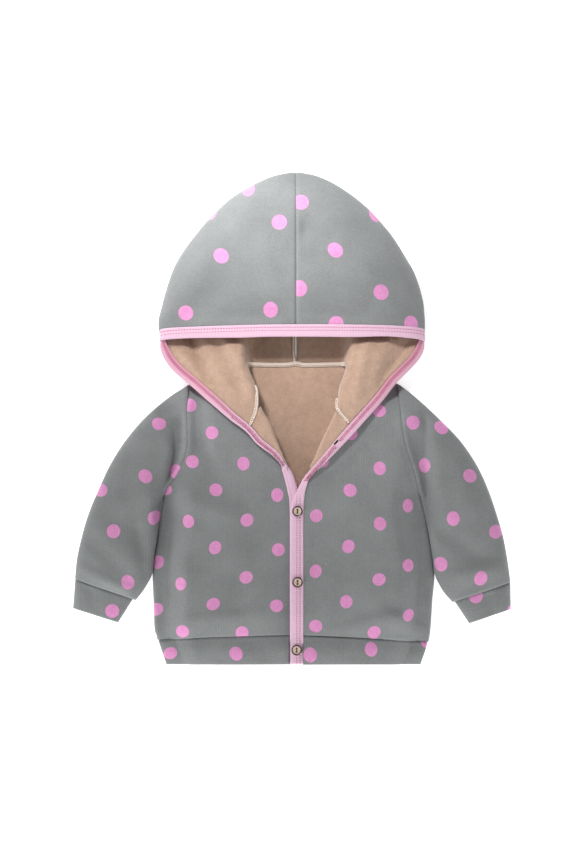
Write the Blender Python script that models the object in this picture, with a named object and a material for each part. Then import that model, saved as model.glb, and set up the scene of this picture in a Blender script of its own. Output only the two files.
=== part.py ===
"""Baby's hooded jacket, buttoned down the front, laid flat on its back.

The hood lies towards +Y and the hem towards -Y, with the front up. Places are
in millimetres in the tables and turned into metres when a mesh is placed.
Heights are to the middle of a cloth wall. "Left" and "right" in a node's name
are the wearer's, so the wearer's right is at -X.
"""
import math

import bmesh
import bpy
from mathutils import Vector

MM = 0.001

# Cloth and trim
WALL = 2.2          # fleece-backed jersey
BAND = 2.6          # the same cloth folded double, at cuffs and hem
TAPE = 3.6          # binding folded round an edge
GAP = 0.3           # between pieces at a seam
TRIM_GAP = 0.45     # between a curved edge and its binding
HEM_GAP = 0.8       # between the panels and the hem band
HEM_FOLD = 3.6      # height of the middle of the hem band's folded sides
HEM_SIDE = 5.9      # lowest height of the hem band's upper layer
FLANGE = 3.6        # height of a front where it lies on the back at the side
FOLD = 5.0          # height of the middle of a folded edge
HOOD_FLOOR = 1.3    # height of the hood's lower layer where it lies on the surface
LYING = 0.97        # share of a ring's depth past which its cloth lies on the surface
ROLL = 1.9          # how far a lapel's roll stands past its fold line
FOLD_DIP = 4.0      # how far the hood's edge dips where it turns over the fold
CORNER_GAP = 14.0   # extra room for the binding where it turns over the fold

# Main places
CENTRE = 4.4        # x of the centre front and of the hood's centre seam
HEM_SEAM = -247.6   # y of the hem seam on the back
HEM_EDGE = -271.2
HOOD_TIP = 270.6
NECK_BACK = 60.5
BUTTON_RADIUS = 5.75
BUTTON_DEPTH = 2.6
BUTTON_HOLE = 1.0
BUTTON_HOLE_SPACING = 3.8
LAP = 2.2           # half the step in height between the two lapped fronts

# Side and armhole of the body: (y, x)
LEFT_SIDE = [
    (-271.2, -138.6), (-245.0, -147.4), (-233.0, -150.7), (-200.0, -151.8),
    (-170.5, -152.9), (-126.5, -147.4), (-86.9, -140.8), (-78.1, -137.6),
    (-66.0, -128.7), (-49.5, -119.9), (-28.6, -114.4), (5.5, -115.0), (36.3, -114.4),
]
RIGHT_SIDE = [
    (-271.2, 141.9), (-247.5, 149.6), (-233.0, 151.8), (-200.0, 154.0),
    (-172.7, 156.2), (-136.4, 151.8), (-107.8, 146.3), (-86.9, 140.8),
    (-66.0, 136.4), (-49.0, 131.0), (-28.6, 124.3), (8.8, 118.8), (37.4, 116.6),
]

# Shoulder and back neck line: (x, y)
SHOULDER = [
    (-114.4, 36.3), (-85.0, 47.5), (-56.0, 58.5), (-44.0, NECK_BACK),
    (54.0, NECK_BACK), (64.0, 58.5), (90.0, 48.0), (116.6, 37.4),
]
# Seam between the fronts and the hem band: (x, y)
HEM_LINE = [(-148.0, -245.2), (-93.5, -241.2), (CENTRE, -239.0), (62.7, -241.0), (150.0, -247.2)]

# Inner edge of each front: button edge, neck opening and neck seam, (x, y)
LEFT_OPENING = [
    (-1.9, -239.2), (-1.9, -97.0), (-4.9, -80.0), (-7.2, -70.4), (-9.8, -61.0),
    (-11.4, -54.0), (-13.2, -46.0), (-16.2, -36.0), (-19.6, -28.0), (-28.2, -8.0),
    (-36.2, 11.0), (-40.4, 24.0), (-46.0, 38.0), (-52.0, 50.0), (-56.0, 58.4),
]
RIGHT_OPENING = [
    (12.1, -239.2), (12.1, -97.0), (13.4, -87.0), (16.8, -73.0), (21.4, -65.0),
    (24.6, -56.0), (28.6, -47.0), (31.6, -40.0), (38.2, -24.0), (51.6, 6.0),
    (54.4, 19.0), (58.4, 36.0), (62.0, 50.0), (64.0, 58.4),
]
# Ends of the rolled-back lapels along their folds: (low y, high y)
LEFT_LAPEL = (-28.0, 11.0)
RIGHT_LAPEL = (-40.0, 6.0)

# Fullness of the body along its length: (y, height)
PLATEAU = [
    (-271.2, 12.0), (-243.0, 13.0), (-215.0, 18.0), (-160.0, 21.0),
    (-90.0, 22.5), (0.0, 21.0), (40.0, 17.0), (60.0, 12.0),
]
# Height of the cloth along the side and the armhole: (y, height)
EDGE = [
    (-100.0, 3.6), (-86.9, 4.6), (-78.0, 9.0), (-66.0, 13.0), (-49.5, 17.0),
    (-28.6, 19.0), (5.5, 18.5), (24.0, 13.0), (36.8, 6.5),
]
# Flat width of the side before the front rises: (y, width)
SIDE_FLAT = [(-271.2, 9.0), (-110.0, 9.0), (-86.9, 3.0), (-60.0, 0.0)]
RISE = 30.0
SHOULDER_FALL = 24.0

# Hood silhouette seen from above: (y, left x, right x)
HOOD_SIDES = [
    (84.0, -144.6, 145.8), (103.4, -147.2, 146.4), (123.2, -143.4, 145.2), (143.0, -138.0, 140.8),
    (162.8, -131.2, 133.4), (176.0, -124.6, 125.6), (189.2, -115.8, 117.8), (202.4, -105.8, 108.9),
    (215.6, -94.8, 98.0), (228.8, -82.0, 85.8), (242.0, -67.0, 70.4), (255.2, -45.4, 51.0),
    (261.8, -32.0, 38.6), (267.0, -17.5, 24.6), (HOOD_TIP, 3.0, 5.6),
]
# Height of the hood's top layer along its centre seam: (y, height)
HOOD_DOME = [
    (80.0, 36.0), (100.0, 41.0), (125.0, 48.0), (150.0, 51.0), (180.0, 48.0), (215.0, 38.0),
    (240.0, 26.0), (260.0, 13.0), (HOOD_TIP, 6.2),
]
# Height of the hood's folded edge: (y, height)
HOOD_FOLD = [(84.0, 17.0), (100.0, 15.0), (125.0, 10.0), (160.0, 7.0), (HOOD_TIP, 5.6)]
# Height of the turned-back hood sides over the fronts: (distance from centre, height)
WING = [(0.0, 28.0), (60.0, 28.5), (85.0, 26.5), (110.0, 21.0), (130.0, 16.0), (150.0, 12.0)]
WING_FADE = (72.0, 62.0)     # where the raised sides start to lie down, and over what length
# Middle of the step from each raised side down to the back neck: (y, left x, right x)
WING_STEP = [(0.0, -31.0, 45.0), (16.0, -33.5, 47.5), (36.0, -39.5, 52.0), (50.0, -45.0, 57.0),
             (60.0, -49.0, 60.0), (85.0, -51.0, 62.5), (140.0, -52.0, 64.0)]
STEP_WIDTH = 10.0

# Neck seam of the hood, from the lapel's fold round to the centre back: (x, y)
LEFT_NECK = [(-37.0, 17.0), (-38.6, 30.0), (-43.0, 42.0), (-47.6, 54.0), (-46.6, NECK_BACK + 0.8),
             (-34.0, NECK_BACK + 0.5), (CENTRE - GAP, NECK_BACK + 0.5)]
RIGHT_NECK = [(50.8, 13.0), (52.0, 30.0), (55.8, 42.0), (59.8, 54.0), (58.2, NECK_BACK + 0.8),
              (44.0, NECK_BACK + 0.5), (CENTRE + GAP, NECK_BACK + 0.5)]
# y where the neck seam meets the binding
LEFT_NECK_END = -9.0
RIGHT_NECK_END = -6.5

# Binding, on the wearer's right from the hem round to the hood's middle, and on the left
# (outer x, outer y, inner x, inner y, layer): 0 front, 1 turned-back side, 2 top of the hood
LEFT_BINDING = [
    (-1.4, -270.6, 10.4, -270.6, 0.0), (-1.4, -190.0, 10.4, -190.0, 0.0),
    (-1.4, -110.0, 10.4, -110.0, 0.0), (-2.0, -92.0, 9.2, -92.0, 0.0),
    (-5.0, -76.0, 5.4, -74.0, 0.0), (-8.2, -64.0, 0.2, -60.0, 0.15),
    (-13.2, -50.6, -6.4, -45.0, 0.75), (-21.0, -41.8, -15.2, -34.4, 1.0),
    (-38.7, -28.2, -32.6, -21.0, 1.0), (-50.0, -15.4, -43.4, -8.6, 1.0),
    (-68.2, -1.7, -62.2, 5.7, 1.0), (-90.0, 16.8, -84.0, 24.4, 1.0),
    (-113.0, 37.0, -106.8, 44.4, 1.0), (-127.6, 49.2, -121.0, 56.4, 1.0),
    (-137.4, 60.0, -130.0, 66.4, 1.0), (-143.2, 70.6, -135.6, 76.6, 1.1),
    (-145.4, 80.0, -141.0, 88.4, 1.4), (-144.2, 84.8, -144.0, 95.6, 1.85),
    (-134.0, 86.4, -135.0, 98.0, 2.0), (-100.0, 87.6, -100.0, 99.6, 2.0),
    (-60.0, 87.8, -60.0, 100.8, 2.0), (-20.0, 88.9, -20.0, 101.7, 2.0),
]
RIGHT_BINDING = [
    (11.6, -270.6, -1.8, -270.6, 0.0), (11.6, -190.0, -1.8, -190.0, 0.0),
    (11.6, -110.0, -1.8, -110.0, 0.0), (11.9, -96.0, -0.8, -96.0, 0.0),
    (13.3, -83.0, 3.3, -85.1, 0.1), (16.0, -72.4, 7.8, -74.6, 0.35),
    (21.2, -63.6, 16.6, -62.0, 0.85), (35.0, -52.8, 29.2, -46.0, 1.0),
    (53.6, -31.9, 46.8, -25.4, 1.0), (66.4, -18.4, 59.4, -12.0, 1.0),
    (79.5, -3.7, 72.4, 2.6, 1.0), (99.0, 18.4, 91.8, 24.6, 1.0),
    (114.8, 38.6, 107.6, 44.8, 1.0), (127.6, 51.4, 120.4, 57.6, 1.0),
    (138.0, 62.4, 130.6, 68.0, 1.0), (143.6, 71.6, 136.2, 77.4, 1.1),
    (145.6, 80.2, 141.4, 88.6, 1.4), (144.2, 84.8, 144.2, 95.8, 1.85),
    (134.0, 87.0, 135.0, 98.8, 2.0), (100.0, 89.4, 100.0, 101.0, 2.0),
    (68.0, 88.6, 68.0, 101.6, 2.0), (30.0, 88.9, 30.0, 101.9, 2.0),
]

UNDERARM = -86.9
ARM_GAP = 1.2       # between a sleeve's head and the curved armhole
SIDE_GAP = 1.0      # between a sleeve's inner fold and the body's side
SIDE_END = -168.0   # y down to which the sleeve lies along the side

# Sleeve edges to the middle of the wall, from the shoulder, and from the side's end, to the cuff: (x, y)
LEFT_SLEEVE_OUTER = [
    (-115.6, 34.6), (-134.2, 22.6), (-161.9, -1.0), (-183.8, -27.2), (-200.2, -53.4),
    (-212.3, -79.7), (-223.3, -106.0), (-231.0, -132.2), (-236.5, -158.4), (-238.2, -177.4),
]
LEFT_SLEEVE_INNER = [(-162.0, -185.0), (-172.4, -199.6)]
RIGHT_SLEEVE_OUTER = [
    (118.0, 36.0), (135.0, 22.7), (160.8, -1.0), (186.0, -27.4), (203.4, -53.6),
    (215.4, -79.8), (224.4, -106.0), (232.0, -132.4), (236.8, -159.0), (239.8, -181.0),
]
RIGHT_SLEEVE_INNER = [(166.0, -188.0), (177.4, -202.0)]
SLEEVE_FULL = [(0.0, 19.0), (0.3, 24.0), (0.65, 21.0), (1.0, 14.5)]
HEAD_BLEND = 0.3     # share of the sleeve over which its head takes its own form
HEAD_RUN = 0.4       # share over which its rings turn from the armhole's curve to straight
HEAD_FAN = 0.35      # how the rings fan out from the underarm

# Cuff corners to the middle of the wall: seam outer, seam inner, end outer, end inner
LEFT_CUFF = ((-237.8, -178.4), (-176.4, -198.6), (-240.2, -209.6), (-192.8, -224.6))
RIGHT_CUFF = ((239.4, -182.0), (180.4, -201.4), (240.0, -210.6), (196.4, -225.6))
CUFF_FULL = 13.0

# Buttons: (name, x, y, layer under it)
BUTTONS = [
    ("button_1", -30.6, -28.6, "lapel"), ("button_2", 6.0, -102.3, "binding"),
    ("button_3", 6.0, -180.4, "binding"), ("button_4", 5.0, -255.2, "binding"),
]


def mix(low, high, share):
    """The value a share of the way from low to high."""
    return low + (high - low) * share


def ease(share):
    """0 to 1 with a soft start and end."""
    share = min(max(share, 0.0), 1.0)
    return share * share * (3.0 - 2.0 * share)


def read(table, at, column=1):
    """A table's value at a place in its first column, on a curve that never overshoots."""
    last = len(table) - 1
    at = min(max(at, table[0][0]), table[last][0])
    row = 0
    while row < last - 1 and table[row + 1][0] <= at:
        row += 1
    steps = []
    for start in (row - 1, row, row + 1):
        start = min(max(start, 0), last - 1)
        run = table[start + 1][0] - table[start][0]
        steps.append((table[start + 1][column] - table[start][column]) / run)
    slopes = []
    for before, after in zip(steps, steps[1:]):
        slopes.append(2.0 * before * after / (before + after) if before * after > 0.0 else 0.0)
    if row == 0:
        slopes[0] = steps[1]
    if row == last - 1:
        slopes[1] = steps[1]
    run = table[row + 1][0] - table[row][0]
    part = (at - table[row][0]) / run
    rest = 1.0 - part
    return ((1.0 + 2.0 * part) * rest * rest * table[row][column]
            + part * rest * rest * run * slopes[0]
            + part * part * (3.0 - 2.0 * part) * table[row + 1][column]
            - part * part * rest * run * slopes[1])


class Line:
    """A smooth line through points, read by a share of its length."""

    def __init__(self, points):
        runs = [0.0]
        for start, end in zip(points, points[1:]):
            runs.append(runs[-1] + (Vector(end[:2]) - Vector(start[:2])).length)
        self.length = runs[-1]
        self.columns = [list(zip(runs, values)) for values in zip(*points)]

    def at(self, share):
        place = share * self.length
        return Vector([read(column, place) for column in self.columns])

    def share(self, axis, value):
        """The share of the length at which one coordinate, which only grows, has a value."""
        low = 0.0
        high = 1.0
        for _ in range(30):
            middle = 0.5 * (low + high)
            if self.at(middle)[axis] < value:
                low = middle
            else:
                high = middle
        return 0.5 * (low + high)


def patch(bottom, top, left, right, across, up):
    """A point of the surface that four edge lines span."""
    corners = (mix(bottom(0.0), bottom(1.0), across) * (1.0 - up)
               + mix(top(0.0), top(1.0), across) * up)
    return mix(bottom(across), top(across), up) + mix(left(up), right(up), across) - corners


def fold_section(angle, fullness):
    """Side and height, -1 to 1, of a flattened ring with folds at its sides, flat where it lies."""
    side = math.cos(angle)
    rise = math.sin(angle)
    power = 2.0 / fullness
    height = math.copysign(abs(rise) ** power, rise)
    if height < -LYING:
        height = -1.0
    return (math.copysign(abs(side) ** power, side), height)


def side_points(side, low, high, gap=0.0):
    """Points of a side line between two heights, moved outwards by a gap."""
    count = max(2, math.ceil((high - low) / 5.0))
    outward = -1.0 if side[0][1] < 0.0 else 1.0
    points = []
    for step in range(count + 1):
        y = mix(low, high, step / count)
        lean = (read(side, y + 0.5) - read(side, y - 0.5)) * outward
        long = math.hypot(1.0, lean)
        points.append((read(side, y) + outward * gap / long, y - gap * lean / long))
    return points


STRIP = Line(LEFT_BINDING + list(reversed(RIGHT_BINDING)))
STRIP_STEPS = 800


def sewn_points(side, gap):
    """The binding's inner edge on one side, from the hem to the hood's middle: (x, y, layer)."""
    points = []
    for step in range(STRIP_STEPS // 2):
        place = step / STRIP_STEPS
        outer_x, outer_y, inner_x, inner_y, layer = STRIP.at(place if side < 0.0 else 1.0 - place)
        turn = max(layer - 1.0, 0.0) * (2.0 - layer) * CORNER_GAP
        inward = Vector((inner_x - outer_x, inner_y - outer_y)).normalized() * (gap + turn)
        points.append((inner_x + inward.x, inner_y + inward.y, layer))
    return points


# Heights

def body_height(x, y):
    """Middle of a front's wall, with both fronts at one level."""
    inset = min(x - read(LEFT_SIDE, y), read(RIGHT_SIDE, y) - x)
    edge = read(EDGE, y)
    flat = read(SIDE_FLAT, y)
    height = mix(edge, read(PLATEAU, y), ease((inset - flat) / RISE))
    fall = ease((read(SHOULDER, x) - y) / SHOULDER_FALL)
    return mix(FLANGE, height, mix(fall, 1.0, 1.0 - ease((y + 10.0) / 40.0)))


def front_height(x, y, side):
    """Middle of a front's wall: side is -1 for the under front, 1 for the one that laps over."""
    near = ease(1.0 - abs(x - CENTRE) / 55.0)
    return body_height(x, y) + side * LAP * near


def wing_height(x, y):
    """Middle of the hood's turned-back side, and of the front's rolled edge below it."""
    return read(WING, abs(x - CENTRE))


def hood_floor(x, y):
    """Middle of the hood's lower layer: flat on the floor between its raised sides."""
    column = 1 if x < CENTRE else 2
    step = read(WING_STEP, y, column)
    outward = (step - x) if x < CENTRE else (x - step)
    raised = ease((outward + STEP_WIDTH / 2.0) / STEP_WIDTH)
    fade = 1.0 - ease((y - WING_FADE[0]) / WING_FADE[1])
    return mix(HOOD_FLOOR, wing_height(x, y), raised * fade)


def hood_top(x, y):
    """Middle of the hood's top layer."""
    column = 1 if x < CENTRE else 2
    reach = abs(read(HOOD_SIDES, y, column) - CENTRE) - WALL / 2.0
    share = min(abs(x - CENTRE) / reach, 1.0)
    fold = read(HOOD_FOLD, y)
    return fold + (read(HOOD_DOME, y) - fold) * (1.0 - share ** 2.2) ** (1.0 / 2.2)


# Building

def material(name, colour, roughness):
    """A plain material of one colour."""
    made = bpy.data.materials.new(name)
    made.use_nodes = True
    shader = made.node_tree.nodes["Principled BSDF"]
    shader.inputs["Base Color"].default_value = (*colour, 1.0)
    shader.inputs["Roughness"].default_value = roughness
    shader.inputs["Metallic"].default_value = 0.0
    return made


def add_object(name, mesh, finish):
    """An object from a bmesh, shaded smooth."""
    data = bpy.data.meshes.new(name)
    mesh.to_mesh(data)
    mesh.free()
    data.shade_smooth()
    made = bpy.data.objects.new(name, data)
    made.data.materials.append(finish)
    bpy.context.scene.collection.objects.link(made)
    return made


def cloth(name, columns, rows, place, finish, wall=WALL, keep=None):
    """A wall of cloth on a grid: place gives the point at two shares, across and along."""
    mesh = bmesh.new()
    bmesh.ops.create_grid(mesh, x_segments=columns, y_segments=rows, size=0.5)
    if keep:
        cut = []
        for face in mesh.faces:
            middle = face.calc_center_median()
            if not keep((middle.x + 0.5) * columns, (middle.y + 0.5) * rows):
                cut.append(face)
        bmesh.ops.delete(mesh, geom=cut, context="FACES")
    for vert in mesh.verts:
        vert.co = Vector(place(vert.co.x + 0.5, vert.co.y + 0.5)) * MM
    bmesh.ops.remove_doubles(mesh, verts=mesh.verts, dist=0.00002)
    made = add_object(name, mesh, finish)
    thick = made.modifiers.new("wall", "SOLIDIFY")
    thick.thickness = wall * MM
    thick.offset = 0.0
    thick.use_even_offset = True
    thick.use_quality_normals = True
    return made


# Pieces

def back_panel(finish):
    bottom = Line([(read(LEFT_SIDE, HEM_SEAM), HEM_SEAM), (CENTRE, HEM_SEAM),
                   (read(RIGHT_SIDE, HEM_SEAM), HEM_SEAM)])
    top = Line(SHOULDER)
    left = Line(side_points(LEFT_SIDE, HEM_SEAM, SHOULDER[0][1]))
    right = Line(side_points(RIGHT_SIDE, HEM_SEAM, SHOULDER[-1][1]))

    def place(across, up):
        point = patch(bottom.at, top.at, left.at, right.at, across, up)
        return (point.x, point.y, WALL / 2.0)

    cloth("back_panel", 8, 24, place, finish)


def front(name, side, outline, opening, lapel, neck_end, finish):
    """A front, whose edge above the buttons rolls back over itself as a lapel."""
    main = 11
    roll = 4
    flap = 3
    rows = 28
    first = 18
    last = 23
    columns = main + roll + flap
    outline_x = read(outline, HEM_SEAM)
    corner = (outline_x, read(HEM_LINE, outline_x))
    tip = SHOULDER[0] if side < 0.0 else SHOULDER[-1]
    outer = Line([corner] + side_points(outline, corner[1] + 2.0, tip[1]))
    inner = Line(opening)
    bottom_x = [mix(corner[0], opening[0][0], step / 6.0) for step in range(7)]
    bottom = Line([(x, read(HEM_LINE, x)) for x in bottom_x])
    top_x = [mix(tip[0], opening[-1][0], step / 4.0) for step in range(5)]
    top = Line([(x, read(SHOULDER, x)) for x in top_x])
    start = inner.share(1, lapel[0])
    end = inner.share(1, lapel[1])
    edge = lapel_edge(side, lapel, neck_end)

    def share(row):
        """Share of the edges' length at a row, with rows at both ends of the lapel."""
        if row <= first:
            return start * row / first
        if row <= last:
            return mix(start, end, (row - first) / (last - first))
        return mix(end, 1.0, (row - last) / (rows - last))

    def place(across, along):
        column = across * columns
        row = along * rows
        up = share(row)
        if column <= main + 0.001:
            point = patch(bottom.at, top.at, outer.at, inner.at, column / main, up)
            return (point.x, point.y, front_height(point.x, point.y, side))
        fold = inner.at(up)
        sewn = edge.at((row - first) / (last - first))
        low = front_height(fold.x, fold.y, side)
        if column <= main + roll + 0.001:
            turn = math.pi * (column - main) / roll
            point = fold - (sewn - fold).normalized() * (ROLL * math.sin(turn))
            return (point.x, point.y, mix(low, wing_height(fold.x, fold.y), 0.5 - 0.5 * math.cos(turn)))
        point = mix(fold, sewn, (column - main - roll) / flap)
        return (point.x, point.y, wing_height(point.x, point.y))

    def keep(column, row):
        return column < main or first < row < last

    cloth(name, columns, rows, place, finish, keep=keep)


def lapel_edge(side, lapel, neck_end):
    """The lapel's edge along the binding, from its low end to the neck seam."""
    low = lapel[0] - 2.0
    points = [(x, y) for x, y, layer in sewn_points(side, TRIM_GAP) if low <= y <= neck_end and layer < 1.3]
    return Line(points)


def hood_half(name, side, outline_column, lapel, neck_end, opening, neck, finish):
    """Half the hood: its top layer, the fold at the silhouette and its lower layer to the neck."""
    top_columns = 9
    low_columns = 11
    columns = top_columns + low_columns
    dome_rows = 12
    neck_rows = 10
    rows = dome_rows + neck_rows
    seam = CENTRE + side * 0.2
    sewn = sewn_points(side, TRIM_GAP)
    brow = sorted((x, y) for x, y, layer in sewn if layer > 1.86)

    # From the lapel's seam to the fold, the neck seam runs beside the top of the lapel
    low_end = lapel_edge(side, lapel, neck_end).at(1.0)
    fold_end = Line(opening).at(Line(opening).share(1, lapel[1]))
    along = (fold_end - low_end).normalized()
    aside = Vector((along.y, -along.x)) * (-TRIM_GAP if along.y * side < 0.0 else TRIM_GAP)
    start = low_end + aside
    seam_points = [tuple(start), tuple(mix(low_end, fold_end, 0.5) + aside), tuple(fold_end + aside)]
    neckline = Line(seam_points + neck)

    def section(across, share):
        """A point of the flattened ring that half the hood makes at a share of its height."""
        column = across * columns
        if column <= top_columns:
            angle = math.pi / 2.0 * (1.0 - column / top_columns)
            span, rise = fold_section(angle, 2.2)
        else:
            angle = -math.pi / 2.0 * (column - top_columns) / low_columns
            span, rise = fold_section(angle, 3.4)
        span = abs(span)
        reach = abs(read(HOOD_SIDES, 96.0, outline_column) - seam) - WALL / 2.0
        mouth = read(brow, seam + side * reach * span)
        if span > 0.995:
            mouth -= FOLD_DIP
        if column > top_columns:
            mouth = mix(mouth, NECK_BACK + 36.0, ease(-rise))
        y = mix(HOOD_TIP - 0.2, mouth, share ** 1.25)
        reach = abs(read(HOOD_SIDES, y, outline_column) - seam) - WALL / 2.0
        x = seam + side * max(reach, 0.0) * span
        fold = read(HOOD_FOLD, y)
        if column <= top_columns:
            return Vector((x, y, fold + (read(HOOD_DOME, y) - fold) * rise))
        return Vector((x, y, fold + (hood_floor(x, y) - fold) * -rise))

    corner = section(top_columns / columns, 1.0)
    cheek = [(x, y) for x, y, layer in reversed(sewn) if layer < 1.4 and neck_end < y < corner.y - 2.0]
    mouth_edge = Line([tuple(corner.xy)] + cheek + [tuple(start)])

    def place(across, up):
        row = up * rows
        if row <= dome_rows + 0.001:
            if row < 0.001:
                return (seam, HOOD_TIP - 1.2, 5.8)
            return section(across, row / dome_rows)
        down = (row - dome_rows) / neck_rows
        inward = (across * columns - top_columns) / low_columns

        def top(share):
            return section((top_columns + share * low_columns) / columns, 1.0).xy

        def centre(share):
            return mix(top(1.0), neckline.at(1.0), share)

        point = patch(top, neckline.at, mouth_edge.at, centre, inward, down)
        lift = (1.0 - ease(down / 0.2)) * (1.0 - ease(inward / 0.12))
        return (point.x, point.y, mix(hood_floor(point.x, point.y), corner.z, lift))

    def keep(column, row):
        return column > top_columns or row < dome_rows

    cloth(name, columns, rows, place, finish, keep=keep)


def sleeve(name, armhole, outer, inner, finish):
    """A sleeve, as a flattened tube from the armhole to the cuff."""
    side = list(reversed(side_points(armhole, SIDE_END, UNDERARM, WALL / 2.0 + SIDE_GAP)))
    seam = list(reversed(side_points(armhole, UNDERARM, outer[0][1], ARM_GAP)))
    head = Line([outer[0]] + seam[1:-1] + [side[0]])
    outer = Line(outer)
    inner = Line(side + inner)

    def place(around, along):
        angle = 2.0 * math.pi * around
        span, rise = fold_section(angle, 2.4 if around < 0.5 else 3.6)
        share = (1.0 - span) / 2.0
        pull = (1.0 - share) ** HEAD_FAN
        outer_move = outer.at(along) - outer.at(0.0)
        inner_move = inner.at(along) - inner.at(0.0)
        point = mix(head.at(share) + mix(inner_move, outer_move, pull),
                    mix(outer.at(along), inner.at(along), share), ease(along / HEAD_RUN))
        if rise <= 0.0:
            return (point.x, point.y, FOLD + (FOLD - WALL / 2.0) * rise)
        own = FOLD + (read(SLEEVE_FULL, along) - FOLD) * rise
        seam = max(read(EDGE, head.at(share).y), FOLD + rise)
        return (point.x, point.y, mix(seam, own, ease(along / HEAD_BLEND)))

    cloth(name, 20, 13, place, finish)


def cuff(name, corners, finish):
    """A cuff, folded double, as a short flattened tube."""
    seam_outer, seam_inner, end_outer, end_inner = [Vector(corner) for corner in corners]

    def place(around, along):
        angle = 2.0 * math.pi * around
        span, rise = fold_section(angle, 2.6 if around < 0.5 else 3.6)
        share = (1.0 - span) / 2.0
        point = mix(mix(seam_outer, seam_inner, share), mix(end_outer, end_inner, share), along)
        if rise <= 0.0:
            return (point.x, point.y, FOLD + (FOLD - BAND / 2.0) * rise)
        return (point.x, point.y, FOLD + (CUFF_FULL - FOLD) * rise)

    cloth(name, 20, 3, place, finish, wall=BAND)


def hem_band(finish):
    """The hem band, folded double, round the back from one front edge to the other."""
    half = BAND / 2.0

    def place(around, along):
        left_half = around < 0.5
        side = -1.0 if left_half else 1.0
        share = around if left_half else 1.0 - around
        angle = math.pi / 2.0 - math.pi * share * 2.0
        span, rise = fold_section(angle, 5.0)
        reach = mix(CENTRE, read(LEFT_SIDE if left_half else RIGHT_SIDE, HEM_SEAM), abs(span))
        seam_y = read(HEM_LINE, reach) - HEM_GAP
        seam_y = mix(seam_y, HEM_SEAM - HEM_GAP, ease((0.3 - rise) * 1.5))
        y = mix(HEM_EDGE, seam_y, along)
        outline = LEFT_SIDE if left_half else RIGHT_SIDE
        start = CENTRE
        if rise > 0.0:
            start = mix(CENTRE, -1.9 if left_half else 11.9, ease(rise * 1.2))
        x = start + (read(outline, y) - side * half - start) * abs(span)
        if rise <= 0.0:
            return (x, y, HEM_FOLD + (HEM_FOLD - half) * rise)
        return (x, y, mix(HEM_FOLD, max(front_height(x, y, side), HEM_SIDE), rise))

    cloth("hem_band", 56, 3, place, finish, wall=BAND)


def binding(finish):
    """The binding: up the under front, round the hood and down the lapped front."""
    rows = 130
    around = 8

    def height(x, y, layer, side):
        if layer <= 1.0:
            return mix(front_height(x, y, side), wing_height(x, y), layer)
        return mix(wing_height(x, y), hood_top(x, y), layer - 1.0)

    def edges(share):
        outer_x, outer_y, inner_x, inner_y, layer = STRIP.at(share)
        side = -1.0 if share < 0.5 else 1.0
        outer = Vector((outer_x, outer_y, height(outer_x, outer_y, layer, side)))
        inner = Vector((inner_x, inner_y, height(inner_x, inner_y, layer, side)))
        return outer, inner

    def place(turn, along):
        first, second = edges(along)
        step = 0.002
        before = sum(edges(max(along - step, 0.0)), Vector((0.0, 0.0, 0.0)))
        after = sum(edges(min(along + step, 1.0)), Vector((0.0, 0.0, 0.0)))
        width = second - first
        normal = width.cross(after - before).normalized()
        span, rise = fold_section(2.0 * math.pi * (turn + 0.5 / around), 4.0)
        return (first + second) / 2.0 + width * (span / 2.0) + normal * (rise * TAPE / 2.0)

    mesh = bmesh.new()
    bmesh.ops.create_grid(mesh, x_segments=around, y_segments=rows, size=0.5)
    for vert in mesh.verts:
        vert.co = place(vert.co.x + 0.5, vert.co.y + 0.5) * MM
    bmesh.ops.remove_doubles(mesh, verts=mesh.verts, dist=0.00002)
    ends = [edge for edge in mesh.edges if edge.is_boundary]
    bmesh.ops.holes_fill(mesh, edges=ends, sides=around)
    bmesh.ops.recalc_face_normals(mesh, faces=mesh.faces)
    add_object("binding", mesh, finish)


def button(name, x, y, layer, finish):
    """A two-hole button with a raised rim."""
    radius = BUTTON_RADIUS
    depth = BUTTON_DEPTH
    profile = [(0.0, 0.0), (radius - 0.8, 0.0), (radius, 0.8), (radius, depth - 0.5), (radius - 0.5, depth),
               (radius - 1.1, depth), (radius - 1.5, depth - 0.6), (0.0, depth - 0.6)]
    mesh = bmesh.new()
    verts = [mesh.verts.new((across * MM, 0.0, up * MM)) for across, up in profile]
    edges = [mesh.edges.new(pair) for pair in zip(verts, verts[1:])]
    bmesh.ops.spin(mesh, geom=verts + edges, axis=(0.0, 0.0, 1.0), cent=(0.0, 0.0, 0.0),
                   steps=16, angle=2.0 * math.pi, use_merge=True)
    bmesh.ops.remove_doubles(mesh, verts=mesh.verts, dist=0.00002)
    bmesh.ops.recalc_face_normals(mesh, faces=mesh.faces)
    made = add_object(name, mesh, finish)
    if layer == "lapel":
        bottom = front_height(x, y, -1.0) + WALL / 2.0 + GAP + 0.1
    else:
        bottom = front_height(x, y, 1.0) + TAPE / 2.0 + GAP
    made.location = (x * MM, y * MM, bottom * MM)
    punch = bmesh.new()
    for end in (-1.0, 1.0):
        made_hole = bmesh.ops.create_cone(punch, cap_ends=True, segments=8, radius1=BUTTON_HOLE * MM,
                                          radius2=BUTTON_HOLE * MM, depth=4.0 * depth * MM)
        bmesh.ops.translate(punch, verts=made_hole["verts"],
                            vec=(0.0, end * BUTTON_HOLE_SPACING / 2.0 * MM, 0.0))
    cutter = add_object(name + "_holes", punch, finish)
    cutter.location = made.location
    cutter.hide_render = True
    cutter.display_type = "WIRE"
    holes = made.modifiers.new("holes", "BOOLEAN")
    holes.operation = "DIFFERENCE"
    holes.solver = "EXACT"
    holes.object = cutter


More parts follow.
